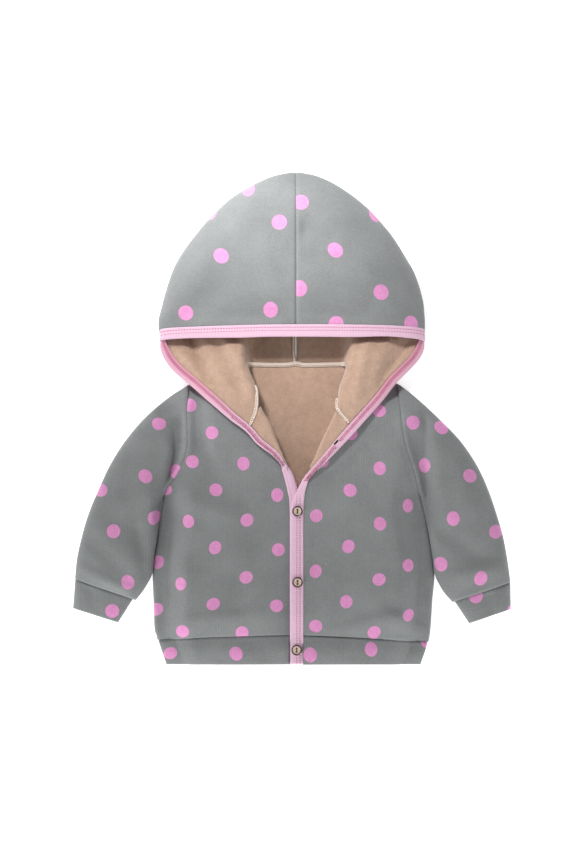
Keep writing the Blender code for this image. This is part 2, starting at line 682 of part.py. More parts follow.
def main():
    for old in list(bpy.data.objects):
        bpy.data.objects.remove(old, do_unlink=True)
    grey = (0.21, 0.22, 0.22)
    pink = (0.80, 0.45, 0.62)
    wood = (0.62, 0.50, 0.40)
    back_panel(material("back_cloth", grey, 0.9))
    front("front_right", -1.0, LEFT_SIDE, LEFT_OPENING, LEFT_LAPEL, LEFT_NECK_END,
          material("front_right_cloth", grey, 0.9))
    front("front_left", 1.0, RIGHT_SIDE, RIGHT_OPENING, RIGHT_LAPEL, RIGHT_NECK_END,
          material("front_left_cloth", grey, 0.9))
    hood_half("hood_right", -1.0, 1, LEFT_LAPEL, LEFT_NECK_END, LEFT_OPENING, LEFT_NECK,
              material("hood_right_cloth", grey, 0.9))
    hood_half("hood_left", 1.0, 2, RIGHT_LAPEL, RIGHT_NECK_END, RIGHT_OPENING, RIGHT_NECK,
              material("hood_left_cloth", grey, 0.9))
    sleeve("sleeve_right", LEFT_SIDE, LEFT_SLEEVE_OUTER, LEFT_SLEEVE_INNER,
           material("sleeve_right_cloth", grey, 0.9))
    sleeve("sleeve_left", RIGHT_SIDE, RIGHT_SLEEVE_OUTER, RIGHT_SLEEVE_INNER,
           material("sleeve_left_cloth", grey, 0.9))
    cuff("cuff_right", LEFT_CUFF, material("cuff_right_cloth", grey, 0.9))
    cuff("cuff_left", RIGHT_CUFF, material("cuff_left_cloth", grey, 0.9))
    hem_band(material("hem_cloth", grey, 0.9))
    binding(material("binding_tape", pink, 0.7))
    for name, x, y, layer in BUTTONS:
        button(name, x, y, layer, material(name + "_wood", wood, 0.45))


main()
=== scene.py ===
"""Baby's button-up hoodie, laid flat: cloth, binding, seams, stitches, buttons and stage.

Sizes in the tables are millimetres in the frame's own axes: +Y towards the hood, +X towards
the wearer's left, heights to the middle of a wall of cloth. LEFT and RIGHT in a table's name
mean -X and +X; "left" and "right" in a piece's name are the wearer's.
"""
import bisect
import math
from types import SimpleNamespace

import bmesh
import bpy
import numpy as np
from mathutils import Matrix, Vector, noise


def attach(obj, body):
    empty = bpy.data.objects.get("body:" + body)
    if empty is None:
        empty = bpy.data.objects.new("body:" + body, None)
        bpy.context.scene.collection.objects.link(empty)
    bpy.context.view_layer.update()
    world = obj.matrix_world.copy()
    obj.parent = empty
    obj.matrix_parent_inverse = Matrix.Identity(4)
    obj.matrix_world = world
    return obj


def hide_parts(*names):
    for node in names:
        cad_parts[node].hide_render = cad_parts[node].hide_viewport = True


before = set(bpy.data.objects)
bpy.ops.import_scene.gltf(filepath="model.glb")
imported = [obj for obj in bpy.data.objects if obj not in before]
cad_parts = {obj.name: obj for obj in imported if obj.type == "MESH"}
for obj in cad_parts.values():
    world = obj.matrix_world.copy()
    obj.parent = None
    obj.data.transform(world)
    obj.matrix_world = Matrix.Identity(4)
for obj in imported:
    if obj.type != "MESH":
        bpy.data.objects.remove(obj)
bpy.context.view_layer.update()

bl_info = {
    "name": "Button-up hoodie",
    "version": (1, 0, 0),
    "blender": (4, 5, 0),
    "location": "3D View > Sidebar > Hoodie",
    "description": "Dresses the packed hoodie frame with dotted jersey, binding, stitches and buttons",
    "category": "Add Mesh",
}

MM = 0.001

# Cloth and trim
WALL = 2.2              # thickness of the jersey
BAND = 2.6              # thickness of a band folded double
TAPE = 3.6              # thickness of the binding
TAPE_TOP = 1.98         # from the middle of the binding to its stitches
GAP = 0.3               # between two pieces at a seam
BAND_CLEAR = 1.35       # least height of the middle of a band folded double
BACK_INSET = 3.0        # how far the back stops short of the fronts' rolled sides
HEM_PUFF = 1.6          # how far the hem band swells above its seam
TRIM_GAP = 0.45         # between the cloth's edge and the binding
HEM_GAP = 0.8           # between the hem seam and the band's edge
FLANGE = 3.6            # height of the fronts along the shoulder
FOLD = 5.0              # height of the folds of sleeves and cuffs
HEM_FOLD = 3.6          # height of the hem band's folds
HEM_SIDE = 5.9          # least height of the hem band's top
HOOD_FLOOR = 1.3        # height of the hood's lower layer on the surface
LYING = 0.97            # share of a ring's depth from which it lies flat
ROLL = 1.9              # how far a lapel's fold bulges
FOLD_DIP = 4.0          # how far the hood's edge dips at its fold
CORNER_GAP = 3.0        # widens the binding's gap where it turns at the hood's corners
SEAM_OPEN = 0.5         # half the width of the groove along the hood's seam
LAP = 2.2               # half the step between the two fronts where they overlap

# Steps of the grids of points
BACK_STEPS = (46, 110)         # across and up
FRONT_ROWS = (84, 26, 16)      # below the lapel, along it and above it
FRONT_COLUMNS = (50, 8, 7)     # front, roll and flap
HOOD_ROWS = (78, 44)           # from the tip to the mouth, and on to the neck seam
HOOD_COLUMNS = (54, 52)        # top layer and lower layer
SLEEVE_STEPS = (92, 104)       # along and round
CUFF_STEPS = (14, 72)
HEM_STEPS = (14, 58, 16)       # up, and along each quarter to where it turns and past it
BINDING_ROWS = 620
OVERLOCKED_AROUND = 12

# How cloth rolls down into a seam: depth and reach
SEAM = (2.4, 2.6)
SIDE_SEAM = (2.45, 3.0)
HOOD_SEAM = (2.6, 3.6)

# Main places
CENTRE = 4.4
HEM_SEAM = -247.6
HEM_EDGE = -271.2
HOOD_TIP = 270.6
NECK_BACK = 60.5

# Side and armhole of the body: (y, x)
LEFT_SIDE = [
    (-271.2, -138.6), (-245.0, -147.4), (-233.0, -150.7), (-200.0, -151.8),
    (-170.5, -152.9), (-126.5, -147.4), (-86.9, -140.8), (-78.1, -137.6),
    (-66.0, -128.7), (-49.5, -119.9), (-28.6, -114.4), (5.5, -115.0), (36.3, -114.4),
]
RIGHT_SIDE = [
    (-271.2, 141.9), (-247.5, 149.6), (-233.0, 151.8), (-200.0, 154.0),
    (-172.7, 156.2), (-136.4, 151.8), (-107.8, 146.3), (-86.9, 140.8),
    (-66.0, 136.4), (-49.0, 131.0), (-28.6, 124.3), (8.8, 118.8), (37.4, 116.6),
]

# Shoulder and back neck line: (x, y)
SHOULDER = [
    (-114.4, 36.3), (-85.0, 47.5), (-56.0, 58.5), (-44.0, NECK_BACK),
    (54.0, NECK_BACK), (64.0, 58.5), (90.0, 48.0), (116.6, 37.4),
]
# Seam between the fronts and the hem band: (x, y)
HEM_LINE = [(-148.0, -245.2), (-93.5, -241.2), (CENTRE, -239.0), (62.7, -241.0), (150.0, -247.2)]

# Inner edge of each front: button edge, neck opening and neck seam, (x, y)
LEFT_OPENING = [
    (-1.9, -239.2), (-1.9, -97.0), (-4.2, -80.0), (-5.0, -70.4), (-5.3, -61.0),
    (-6.2, -54.0), (-9.0, -46.0), (-13.8, -36.0), (-17.4, -28.0), (-26.0, -8.0),
    (-36.2, 11.0), (-40.4, 24.0), (-46.0, 38.0), (-52.0, 50.0), (-56.0, 58.4),
]
RIGHT_OPENING = [
    (12.1, -239.2), (12.1, -97.0), (13.2, -87.0), (14.2, -73.0), (16.2, -65.0),
    (19.8, -56.0), (25.6, -47.0), (28.8, -40.0), (35.8, -24.0), (50.2, 6.0),
    (54.4, 19.0), (58.4, 36.0), (62.0, 50.0), (64.0, 58.4),
]
# Ends of the rolled-back lapels along their folds: (low y, high y)
LEFT_LAPEL = (-50.0, 11.0)
RIGHT_LAPEL = (-57.0, 6.0)

# Fullness of the body along its length: (y, height)
PLATEAU = [
    (-271.2, 12.0), (-243.0, 13.0), (-215.0, 18.0), (-160.0, 21.0),
    (-90.0, 22.5), (0.0, 21.0), (40.0, 17.0), (60.0, 12.0),
]
# Height of the cloth along the side and the armhole: (y, height)
EDGE = [
    (-100.0, 3.6), (-86.9, 4.6), (-78.0, 9.0), (-66.0, 13.0), (-49.5, 17.0),
    (-28.6, 19.0), (5.5, 18.5), (24.0, 13.0), (36.8, 6.5),
]
# Flat width of the side before the front rises: (y, width)
SIDE_FLAT = [(-271.2, 9.0), (-110.0, 9.0), (-86.9, 3.0), (-60.0, 0.0)]
RISE = 30.0
SHOULDER_FALL = 24.0

# Hood silhouette seen from above: (y, left x, right x)
HOOD_SIDES = [
    (84.0, -144.6, 145.8), (103.4, -147.2, 146.4), (123.2, -143.4, 145.2), (143.0, -138.0, 140.8),
    (162.8, -131.2, 133.4), (176.0, -124.6, 125.6), (189.2, -115.8, 117.8), (202.4, -105.8, 108.9),
    (215.6, -94.8, 98.0), (228.8, -82.0, 85.8), (242.0, -67.0, 70.4), (255.2, -45.4, 51.0),
    (261.8, -32.0, 38.6), (267.0, -17.5, 24.6), (HOOD_TIP, 3.0, 5.6),
]
# Height of the hood's top layer along its centre seam: (y, height)
HOOD_DOME = [
    (80.0, 36.0), (100.0, 41.0), (125.0, 48.0), (150.0, 51.0), (180.0, 48.0), (215.0, 38.0),
    (240.0, 26.0), (260.0, 13.0), (HOOD_TIP, 6.2),
]
# Height of the hood's folded edge: (y, height)
HOOD_FOLD = [(84.0, 17.0), (100.0, 15.0), (125.0, 10.0), (160.0, 7.0), (HOOD_TIP, 5.6)]
# Height of the turned-back hood sides over the fronts: (distance from centre, height)
WING = [(0.0, 28.0), (60.0, 28.5), (85.0, 26.5), (110.0, 21.0), (130.0, 16.0), (150.0, 12.0)]
WING_FADE = (72.0, 62.0)     # where the raised sides start to lie down, and over what length
# Middle of the step from each raised side down to the back neck: (y, left x, right x)
WING_STEP = [(0.0, -31.0, 45.0), (16.0, -33.5, 47.5), (36.0, -39.5, 52.0), (50.0, -45.0, 57.0),
             (60.0, -49.0, 60.0), (85.0, -51.0, 62.5), (140.0, -52.0, 64.0)]
STEP_WIDTH = 10.0

# Neck seam of the hood, from the lapel's fold round to the centre back: (x, y)
LEFT_NECK = [(-37.0, 17.0), (-38.6, 30.0), (-43.0, 42.0), (-47.6, 54.0), (-46.6, NECK_BACK + 0.8),
             (-34.0, NECK_BACK + 0.5), (CENTRE - GAP, NECK_BACK + 0.5)]
RIGHT_NECK = [(50.8, 13.0), (52.0, 30.0), (55.8, 42.0), (59.8, 54.0), (58.2, NECK_BACK + 0.8),
              (44.0, NECK_BACK + 0.5), (CENTRE + GAP, NECK_BACK + 0.5)]
# y where the neck seam meets the binding
LEFT_NECK_END = -9.0
RIGHT_NECK_END = -6.5

# Binding, on the wearer's right from the hem round to the hood's middle, and on the left
# (outer x, outer y, inner x, inner y, layer): 0 front, 1 turned-back side, 2 top of the hood
LEFT_BINDING = [
    (-1.4, -270.6, 10.4, -270.6, 0.0), (-1.4, -190.0, 10.4, -190.0, 0.0),
    (-1.4, -110.0, 10.4, -110.0, 0.0), (-2.0, -92.0, 9.2, -92.0, 0.0),
    (-5.0, -76.0, 5.4, -74.0, 0.0), (-8.2, -64.0, 0.2, -60.0, 0.15),
    (-13.2, -50.6, -9.2, -47.2, 0.75), (-21.0, -41.8, -17.3, -37.1, 1.0),
    (-38.7, -28.2, -34.0, -23.2, 1.0), (-50.0, -15.4, -45.0, -10.5, 1.0),
    (-68.2, -1.7, -63.0, 4.8, 1.0), (-90.0, 16.8, -84.0, 24.4, 1.0),
    (-113.0, 37.0, -106.8, 44.4, 1.0), (-127.6, 49.2, -121.0, 56.4, 1.0),
    (-137.4, 60.0, -130.0, 66.4, 1.0), (-143.2, 70.6, -135.6, 76.6, 1.1),
    (-145.4, 80.0, -141.0, 88.4, 1.4), (-144.2, 84.8, -144.0, 95.6, 1.85),
    (-134.0, 86.4, -135.0, 98.0, 2.0), (-100.0, 87.6, -100.0, 99.6, 2.0),
    (-60.0, 87.8, -60.0, 100.8, 2.0), (-20.0, 88.9, -20.0, 101.7, 2.0),
]
RIGHT_BINDING = [
    (11.6, -270.6, -1.8, -270.6, 0.0), (11.6, -190.0, -1.8, -190.0, 0.0),
    (11.6, -110.0, -1.8, -110.0, 0.0), (11.9, -96.0, -0.8, -96.0, 0.0),
    (13.3, -83.0, 3.3, -85.1, 0.1), (16.0, -72.4, 7.8, -74.6, 0.35),
    (21.2, -63.6, 16.6, -62.0, 0.85), (32.8, -53.0, 28.6, -48.4, 1.0),
    (53.6, -31.9, 47.4, -26.0, 1.0), (66.4, -18.4, 59.4, -12.0, 1.0),
    (79.5, -3.7, 72.4, 2.6, 1.0), (99.0, 18.4, 91.8, 24.6, 1.0),
    (114.8, 38.6, 107.6, 44.8, 1.0), (127.6, 51.4, 120.4, 57.6, 1.0),
    (138.0, 62.4, 130.6, 68.0, 1.0), (143.6, 71.6, 136.2, 77.4, 1.1),
    (145.6, 80.2, 141.4, 88.6, 1.4), (144.2, 84.8, 144.2, 95.8, 1.85),
    (134.0, 87.0, 135.0, 98.8, 2.0), (100.0, 89.4, 100.0, 101.0, 2.0),
    (68.0, 88.6, 68.0, 101.6, 2.0), (30.0, 88.9, 30.0, 101.9, 2.0),
]

UNDERARM = -86.9
ARM_GAP = 0.6       # between a sleeve's head and the curved armhole
SIDE_GAP = 0.4      # between a sleeve's inner fold and the body's side
SIDE_END = -168.0   # y down to which the sleeve lies along the side

# Sleeve edges to the middle of the wall, from the shoulder, and from the side's end, to the cuff: (x, y)
LEFT_SLEEVE_OUTER = [
    (-115.6, 34.6), (-134.2, 22.6), (-161.9, -1.0), (-183.8, -27.2), (-200.2, -53.4),
    (-212.3, -79.7), (-223.3, -106.0), (-231.0, -132.2), (-236.5, -158.4), (-238.2, -177.4),
]
LEFT_SLEEVE_INNER = [(-162.0, -185.0), (-172.4, -199.6)]
RIGHT_SLEEVE_OUTER = [
    (118.0, 36.0), (135.0, 22.7), (160.8, -1.0), (186.0, -27.4), (203.4, -53.6),
    (215.4, -79.8), (224.4, -106.0), (232.0, -132.4), (236.8, -159.0), (239.8, -181.0),
]
RIGHT_SLEEVE_INNER = [(166.0, -188.0), (177.4, -202.0)]
SLEEVE_FULL = [(0.0, 19.0), (0.3, 24.0), (0.65, 21.0), (1.0, 14.5)]
HEAD_BLEND = 0.3     # share of the sleeve over which its head takes its own form
HEAD_RUN = 0.4       # share over which its rings turn from the armhole's curve to straight
HEAD_FAN = 0.35      # how the rings fan out from the underarm

# Cuff corners to the middle of the wall: seam outer, seam inner, end outer, end inner
LEFT_CUFF = ((-237.8, -178.4), (-176.4, -198.6), (-240.2, -209.6), (-192.8, -224.6))
RIGHT_CUFF = ((239.4, -182.0), (180.4, -201.4), (240.0, -210.6), (196.4, -225.6))
CUFF_FULL = 13.0
# Where the hem band ends at the front, by side: x
HEM_ENDS = (-1.9, 11.9)
BUTTON_RADIUS = 5.75
BUTTON_DEPTH = 2.6
BUTTON_DISH = 0.76     # how far the face lies below the rim
BUTTON_HOLE = 1.0
BUTTON_HOLE_SPACING = 3.8
# Buttons: name, x, y, and whether it lies by the lapel or on the binding
BUTTONS = [
    ("button_1", -30.6, -28.6, "lapel"), ("button_2", 6.0, -102.3, "binding"),
    ("button_3", 6.0, -180.4, "binding"), ("button_4", 5.0, -255.2, "binding"),
]

# Printed dots that show from above, by piece: (x, y)
DOTS = {
    "hood_right": [(-13.8, 213.7), (-77.2, 176.8), (-23.4, 118.4), (-116.1, 115.0), (-48.0, 252.0)],
    "hood_left": [(10.1, 236.0), (47.1, 182.9), (8.5, 141.4), (97.0, 137.4), (130.1, 103.4),
                  (48.0, 103.0), (90.0, 224.0)],
    "front_right": [(-87.9, -16.2), (-109.5, -48.1), (-53.4, -50.1), (-83.6, -79.1), (-16.3, -84.6),
                    (-49.5, -112.0), (-113.8, -113.5), (-84.4, -142.3), (-15.1, -144.6),
                    (-147.7, -159.0), (-50.4, -174.9), (-121.9, -182.4), (-86.6, -204.5),
                    (-17.1, -206.3), (-149.2, -211.0), (-120.2, -234.4), (-55.0, -235.6),
                    (-139.0, -78.0), (-112.0, 14.0)],
    "front_left": [(64.8, -17.1), (33.0, -47.0), (96.3, -55.3), (63.7, -79.4), (126.9, -96.5),
                   (26.5, -107.2), (96.5, -116.1), (61.9, -141.0), (127.2, -162.1), (25.8, -168.3),
                   (95.6, -177.4), (59.5, -201.8), (127.1, -217.0), (26.0, -228.6), (90.2, -235.3),
                   (95.7, 8.0)],
    "hem_band": [(-133.8, -259.0), (-61.5, -259.1), (87.0, -254.5), (20.0, -260.4)],
    "sleeve_right": [(-146.5, -6.7), (-161.0, -64.1), (-127.8, -58.7), (-209.6, -79.8),
                     (-151.6, -109.2), (-195.9, -124.4), (-180.7, -180.4), (-178.0, 20.0)],
    "sleeve_left": [(132.6, -5.1), (164.1, -10.8), (146.2, -52.1), (195.0, -63.7), (177.1, -110.3),
                    (223.8, -125.2), (163.9, -160.5), (207.3, -176.0)],
    "cuff_right": [(-198.1, -212.2)],
    "cuff_left": [(202.3, -196.4), (243.0, -213.0)],
}
# Size of the dots on a piece, against the usual
DOT_STRETCH = {
    "hood_right": 1.1, "hood_left": 1.1, "front_right": 0.94, "front_left": 0.94, "hem_band": 0.96,
}
# The print's repeat where no dot is charted: two steps across the cloth, and where it starts
REPEAT = ((34.5, -31.5), (0.5, -62.0))
REPEAT_START = (11.0, 7.0)
DOT_SPREAD = 47.0      # how far a repeated dot keeps from every charted one

# Creases: (x, y, x, y, height, width before, width after), before and after across the line
CREASES = {
    "front_right": [
        (-101.0, 12.0, -96.0, -30.0, -4.6, 9.0, 13.0), (-96.0, -30.0, -84.0, -62.0, -2.3, 9.0, 16.0),
        (-120.0, -88.0, -66.0, -104.0, 2.5, 15.0, 11.0), (-140.0, -112.0, -129.0, -188.0, -2.6, 8.0, 14.0),
        (-118.0, -226.0, -40.0, -216.0, 1.9, 9.0, 17.0), (-60.0, -150.0, -22.0, -196.0, 1.4, 14.0, 18.0),
        (-34.0, -58.0, -60.0, -88.0, -1.9, 12.0, 14.0),
    ],
    "front_left": [
        (36.0, -62.0, 92.0, -12.0, -2.6, 11.0, 15.0), (118.0, -40.0, 132.0, -104.0, 1.9, 9.0, 10.0),
        (52.0, -232.0, 112.0, -219.0, 2.3, 8.0, 15.0), (112.0, -219.0, 140.0, -233.0, 1.9, 7.0, 12.0),
        (40.0, -112.0, 28.0, -150.0, -1.7, 12.0, 16.0), (140.0, -140.0, 132.0, -214.0, -1.5, 13.0, 7.0),
        (70.0, -92.0, 104.0, -140.0, 1.6, 15.0, 17.0),
    ],
    "hood_right": [
        (-118.0, 108.0, -86.0, 134.0, -2.7, 16.0, 14.0), (-60.0, 112.0, -12.0, 108.0, -2.0, 12.0, 12.0),
        (-70.0, 205.0, -104.0, 150.0, 1.9, 18.0, 20.0), (-30.0, 178.0, -14.0, 138.0, 1.4, 10.0, 13.0),
    ],
    "hood_left": [
        (14.0, 206.0, 40.0, 196.0, -3.5, 11.0, 12.0), (28.0, 116.0, 66.0, 108.0, -3.5, 13.0, 9.0),
        (84.0, 164.0, 112.0, 116.0, 2.3, 17.0, 13.0), (104.0, 106.0, 134.0, 104.0, -2.6, 9.0, 7.0),
        (30.0, 158.0, 72.0, 146.0, 2.0, 12.0, 14.0),
    ],
    "sleeve_right": [
        (-152.0, 8.0, -141.9, 2.2, -6.1, 14.0, 9.0), (-141.9, 2.2, -126.5, -23.1, -10.1, 17.0, 7.0),
        (-126.5, -23.1, -129.8, -52.8, -10.1, 22.0, 5.0), (-129.8, -52.8, -139.5, -78.0, -6.8, 18.0, 5.0),
        (-176.0, -36.0, -150.0, -34.0, -3.2, 13.0, 15.0), (-186.0, -150.0, -212.0, -120.0, 2.2, 12.0, 14.0),
        (-168.0, -126.0, -160.0, -166.0, -3.5, 9.0, 8.0), (-224.0, -150.0, -200.0, -168.0, 1.9, 9.0, 12.0),
        (-184.0, -92.0, -160.0, -84.0, 2.2, 14.0, 12.0), (-232.0, -166.0, -186.0, -186.0, 2.7, 7.0, 9.0),
    ],
    "sleeve_left": [
        (134.0, 4.0, 140.8, -9.9, 2.7, 8.0, 10.0), (146.0, -10.0, 146.0, -74.0, -8.1, 7.0, 18.0),
        (150.0, -74.0, 158.0, -120.0, -6.2, 8.0, 16.0), (152.0, -6.0, 186.0, -26.0, -3.5, 8.0, 12.0),
        (196.0, -90.0, 190.0, -52.0, 3.8, 13.0, 15.0), (172.0, -128.0, 196.0, -146.0, -3.0, 12.0, 10.0),
        (188.0, -172.0, 232.0, -164.0, 3.0, 9.0, 12.0), (160.0, -140.0, 158.0, -172.0, 2.2, 7.0, 8.0),
        (222.0, -110.0, 214.0, -150.0, -2.2, 10.0, 9.0),
    ],
    "hem_band": [
        (-96.0, -252.0, -50.0, -262.0, 0.6, 9.0, 9.0), (40.0, -262.0, 92.0, -250.0, 0.6, 8.0, 8.0),
    ],
    "cuff_right": [
        (-222.0, -188.0, -218.0, -206.0, -0.9, 6.0, 7.0), (-204.0, -194.0, -206.0, -212.0, 0.7, 6.0, 6.0),
    ],
    "cuff_left": [
        (216.0, -188.0, 220.0, -210.0, -1.0, 6.0, 7.0), (232.0, -186.0, 228.0, -206.0, 0.8, 5.0, 6.0),
    ],
}
# Creases in the turned-back sides of the hood, in its lower layer
WING_CREASES = [
    (-112.0, 86.0, -92.0, 36.0, -6.4, 11.0, 5.0), (-80.0, 78.0, -54.0, 36.0, -3.9, 6.0, 9.0),
    (-122.0, 70.0, -98.0, 44.0, 2.8, 6.0, 7.0), (-66.0, 74.0, -47.0, 28.0, 3.1, 7.0, 4.0),
    (124.0, 78.0, 104.0, 40.0, -4.5, 6.0, 9.0), (84.0, 80.0, 70.0, 26.0, 3.1, 9.0, 7.0),
    (104.0, 84.0, 90.0, 44.0, 2.5, 6.0, 7.0), (12.0, 132.0, 26.0, 70.0, 1.1, 9.0, 9.0),
]
SLOPE_SHARE = 0.75     # share of a slope's height that the print follows
HEM_TOPSTITCH = 4.2    # from the hem seam up to the stitches
FLOOR_CLEAR = 1.15     # least height of the middle of a wall
# Names of the pieces of cloth that differ from their nodes
CLOTH_NAMES = {"back_panel": "back_cloth", "hem_band": "hem_cloth"}


def mix(low, high, share):
    """The value a share of the way from low to high."""
    return low + (high - low) * share


def ease(share):
    """0 to 1 with a soft start and end."""
    share = min(max(share, 0.0), 1.0)
    return share * share * (3.0 - 2.0 * share)


class Curve:
    """A smooth curve through (place, value) pairs that never overshoots."""

    def __init__(self, pairs):
        self.places = [pair[0] for pair in pairs]
        self.values = [pair[1] for pair in pairs]
        last = len(pairs) - 1
        steps = [(self.values[i + 1] - self.values[i]) / (self.places[i + 1] - self.places[i])
                 for i in range(last)]
        self.slopes = [steps[0]]
        for before, after in zip(steps, steps[1:]):
            self.slopes.append(2.0 * before * after / (before + after) if before * after > 0.0 else 0.0)
        self.slopes.append(steps[-1])

    def __call__(self, at):
        places = self.places
        at = min(max(at, places[0]), places[-1])
        row = min(max(bisect.bisect_right(places, at) - 1, 0), len(places) - 2)
        run = places[row + 1] - places[row]
        part = (at - places[row]) / run
        rest = 1.0 - part
        return ((1.0 + 2.0 * part) * rest * rest * self.values[row]
                + part * rest * rest * run * self.slopes[row]
                + part * part * (3.0 - 2.0 * part) * self.values[row + 1]
                - part * part * rest * run * self.slopes[row + 1])


def curve(table, column=1):
    """A curve from the first column of a table to another."""
    return Curve([(row[0], row[column]) for row in table])


class Line:
    """A smooth line through points, read by a share of its length."""

    def __init__(self, points):
        runs = [0.0]
        for start, end in zip(points, points[1:]):
            runs.append(runs[-1] + math.dist(start[:2], end[:2]))
        self.length = runs[-1]
        self.columns = [Curve(list(zip(runs, values))) for values in zip(*points)]

    def at(self, share):
        """The point at a share of the length."""
        place = share * self.length
        return Vector([column(place) for column in self.columns])

    def points(self, count):
        """Points at the ends of a count of even steps."""
        return [tuple(self.at(step / count)) for step in range(count + 1)]

    def share(self, axis, value):
        """The share of the length at which one coordinate, which only grows, has a value."""
        low = 0.0
        high = 1.0
        for _ in range(30):
            middle = 0.5 * (low + high)
            if self.at(middle)[axis] < value:
                low = middle
            else:
                high = middle
        return 0.5 * (low + high)


LEFT_OUTLINE = curve(LEFT_SIDE)
RIGHT_OUTLINE = curve(RIGHT_SIDE)
SHOULDER_LINE = curve(SHOULDER)
HEM_SEAM_LINE = curve(HEM_LINE)
BODY_TOP = curve(PLATEAU)
BODY_EDGE = curve(EDGE)
SIDE_LYING = curve(SIDE_FLAT)
HOOD_LEFT = curve(HOOD_SIDES, 1)
HOOD_RIGHT = curve(HOOD_SIDES, 2)
DOME = curve(HOOD_DOME)
DOME_FOLD = curve(HOOD_FOLD)
WING_TOP = curve(WING)
STEP_LEFT = curve(WING_STEP, 1)
STEP_RIGHT = curve(WING_STEP, 2)
SLEEVE_TOP = curve(SLEEVE_FULL)

# The wearer's right side, at -X, and left side, at +X
HALVES = [
    SimpleNamespace(side=-1.0, hand="right", outline=LEFT_OUTLINE, hood=HOOD_LEFT, shoulder=SHOULDER[0],
                    opening=LEFT_OPENING, lapel=LEFT_LAPEL, neck=LEFT_NECK, neck_end=LEFT_NECK_END,
                    sleeve_outer=LEFT_SLEEVE_OUTER, sleeve_inner=LEFT_SLEEVE_INNER, cuff=LEFT_CUFF,
                    hem_end=HEM_ENDS[0]),
    SimpleNamespace(side=1.0, hand="left", outline=RIGHT_OUTLINE, hood=HOOD_RIGHT, shoulder=SHOULDER[-1],
                    opening=RIGHT_OPENING, lapel=RIGHT_LAPEL, neck=RIGHT_NECK, neck_end=RIGHT_NECK_END,
                    sleeve_outer=RIGHT_SLEEVE_OUTER, sleeve_inner=RIGHT_SLEEVE_INNER, cuff=RIGHT_CUFF,
                    hem_end=HEM_ENDS[1]),
]


def patch(bottom, top, left, right, across, up):
    """A point of the surface that four edge lines span."""
    corners = (mix(bottom(0.0), bottom(1.0), across) * (1.0 - up)
               + mix(top(0.0), top(1.0), across) * up)
    return mix(bottom(across), top(across), up) + mix(left(up), right(up), across) - corners


def fold_section(angle, fullness):
    """Side and height, -1 to 1, of a flattened ring with folds at its sides, flat where it lies."""
    side = math.cos(angle)
    rise = math.sin(angle)
    power = 2.0 / fullness
    height = math.copysign(abs(rise) ** power, rise)
    if height < -LYING:
        height = -1.0
    return (math.copysign(abs(side) ** power, side), height)


def side_points(half, low, high, gap=0.0):
    """Points of the body's side line between two values of y, moved outwards by a gap."""
    count = max(2, math.ceil((high - low) / 5.0))
    points = []
    for step in range(count + 1):
        y = mix(low, high, step / count)
        lean = (half.outline(y + 0.5) - half.outline(y - 0.5)) * half.side
        long = math.hypot(1.0, lean)
        points.append((half.outline(y) + half.side * gap / long, y - gap * lean / long))
    return points


STRIP = Line(LEFT_BINDING + list(reversed(RIGHT_BINDING)))
STRIP_STEPS = 800


def sewn_points(side, gap):
    """The binding's inner edge on one side, from the hem to the hood's middle: (x, y, layer)."""
    points = []
    for step in range(STRIP_STEPS // 2):
        place = step / STRIP_STEPS
        outer_x, outer_y, inner_x, inner_y, layer = STRIP.at(place if side < 0.0 else 1.0 - place)
        turn = max(layer - 1.0, 0.0) * (2.0 - layer) * CORNER_GAP
        inward = Vector((inner_x - outer_x, inner_y - outer_y)).normalized() * (gap + turn)
        points.append((inner_x + inward.x, inner_y + inward.y, layer))
    return points


def body_height(x, y):
    """Middle of a front's wall, with both fronts at one level."""
    inset = min(x - LEFT_OUTLINE(y), RIGHT_OUTLINE(y) - x)
    height = mix(BODY_EDGE(y), BODY_TOP(y), ease((inset - SIDE_LYING(y)) / RISE))
    fall = ease((SHOULDER_LINE(x) - y) / SHOULDER_FALL)
    return mix(FLANGE, height, mix(fall, 1.0, 1.0 - ease((y + 10.0) / 40.0)))


def front_height(x, y, side):
    """Middle of a front's wall: side is -1 for the under front, 1 for the one that laps over."""
    return body_height(x, y) + side * LAP * ease(1.0 - abs(x - CENTRE) / 55.0)


def wing_height(x):
    """Middle of the hood's turned-back side, and of the front's rolled edge below it."""
    return WING_TOP(abs(x - CENTRE))


def hood_floor(x, y):
    """Middle of the hood's lower layer: flat on the floor between its raised sides."""
    outward = STEP_LEFT(y) - x if x < CENTRE else x - STEP_RIGHT(y)
    raised = ease((outward + STEP_WIDTH / 2.0) / STEP_WIDTH)
    fade = 1.0 - ease((y - WING_FADE[0]) / WING_FADE[1])
    return mix(HOOD_FLOOR, wing_height(x), raised * fade)


def hood_top(x, y):
    """Middle of the hood's top layer."""
    outline = HOOD_LEFT if x < CENTRE else HOOD_RIGHT
    reach = abs(outline(y) - CENTRE) - WALL / 2.0
    share = min(abs(x - CENTRE) / reach, 1.0)
    fold = DOME_FOLD(y)
    return fold + (DOME(y) - fold) * (1.0 - share ** 2.2) ** (1.0 / 2.2)


# Cloth as a grid of points


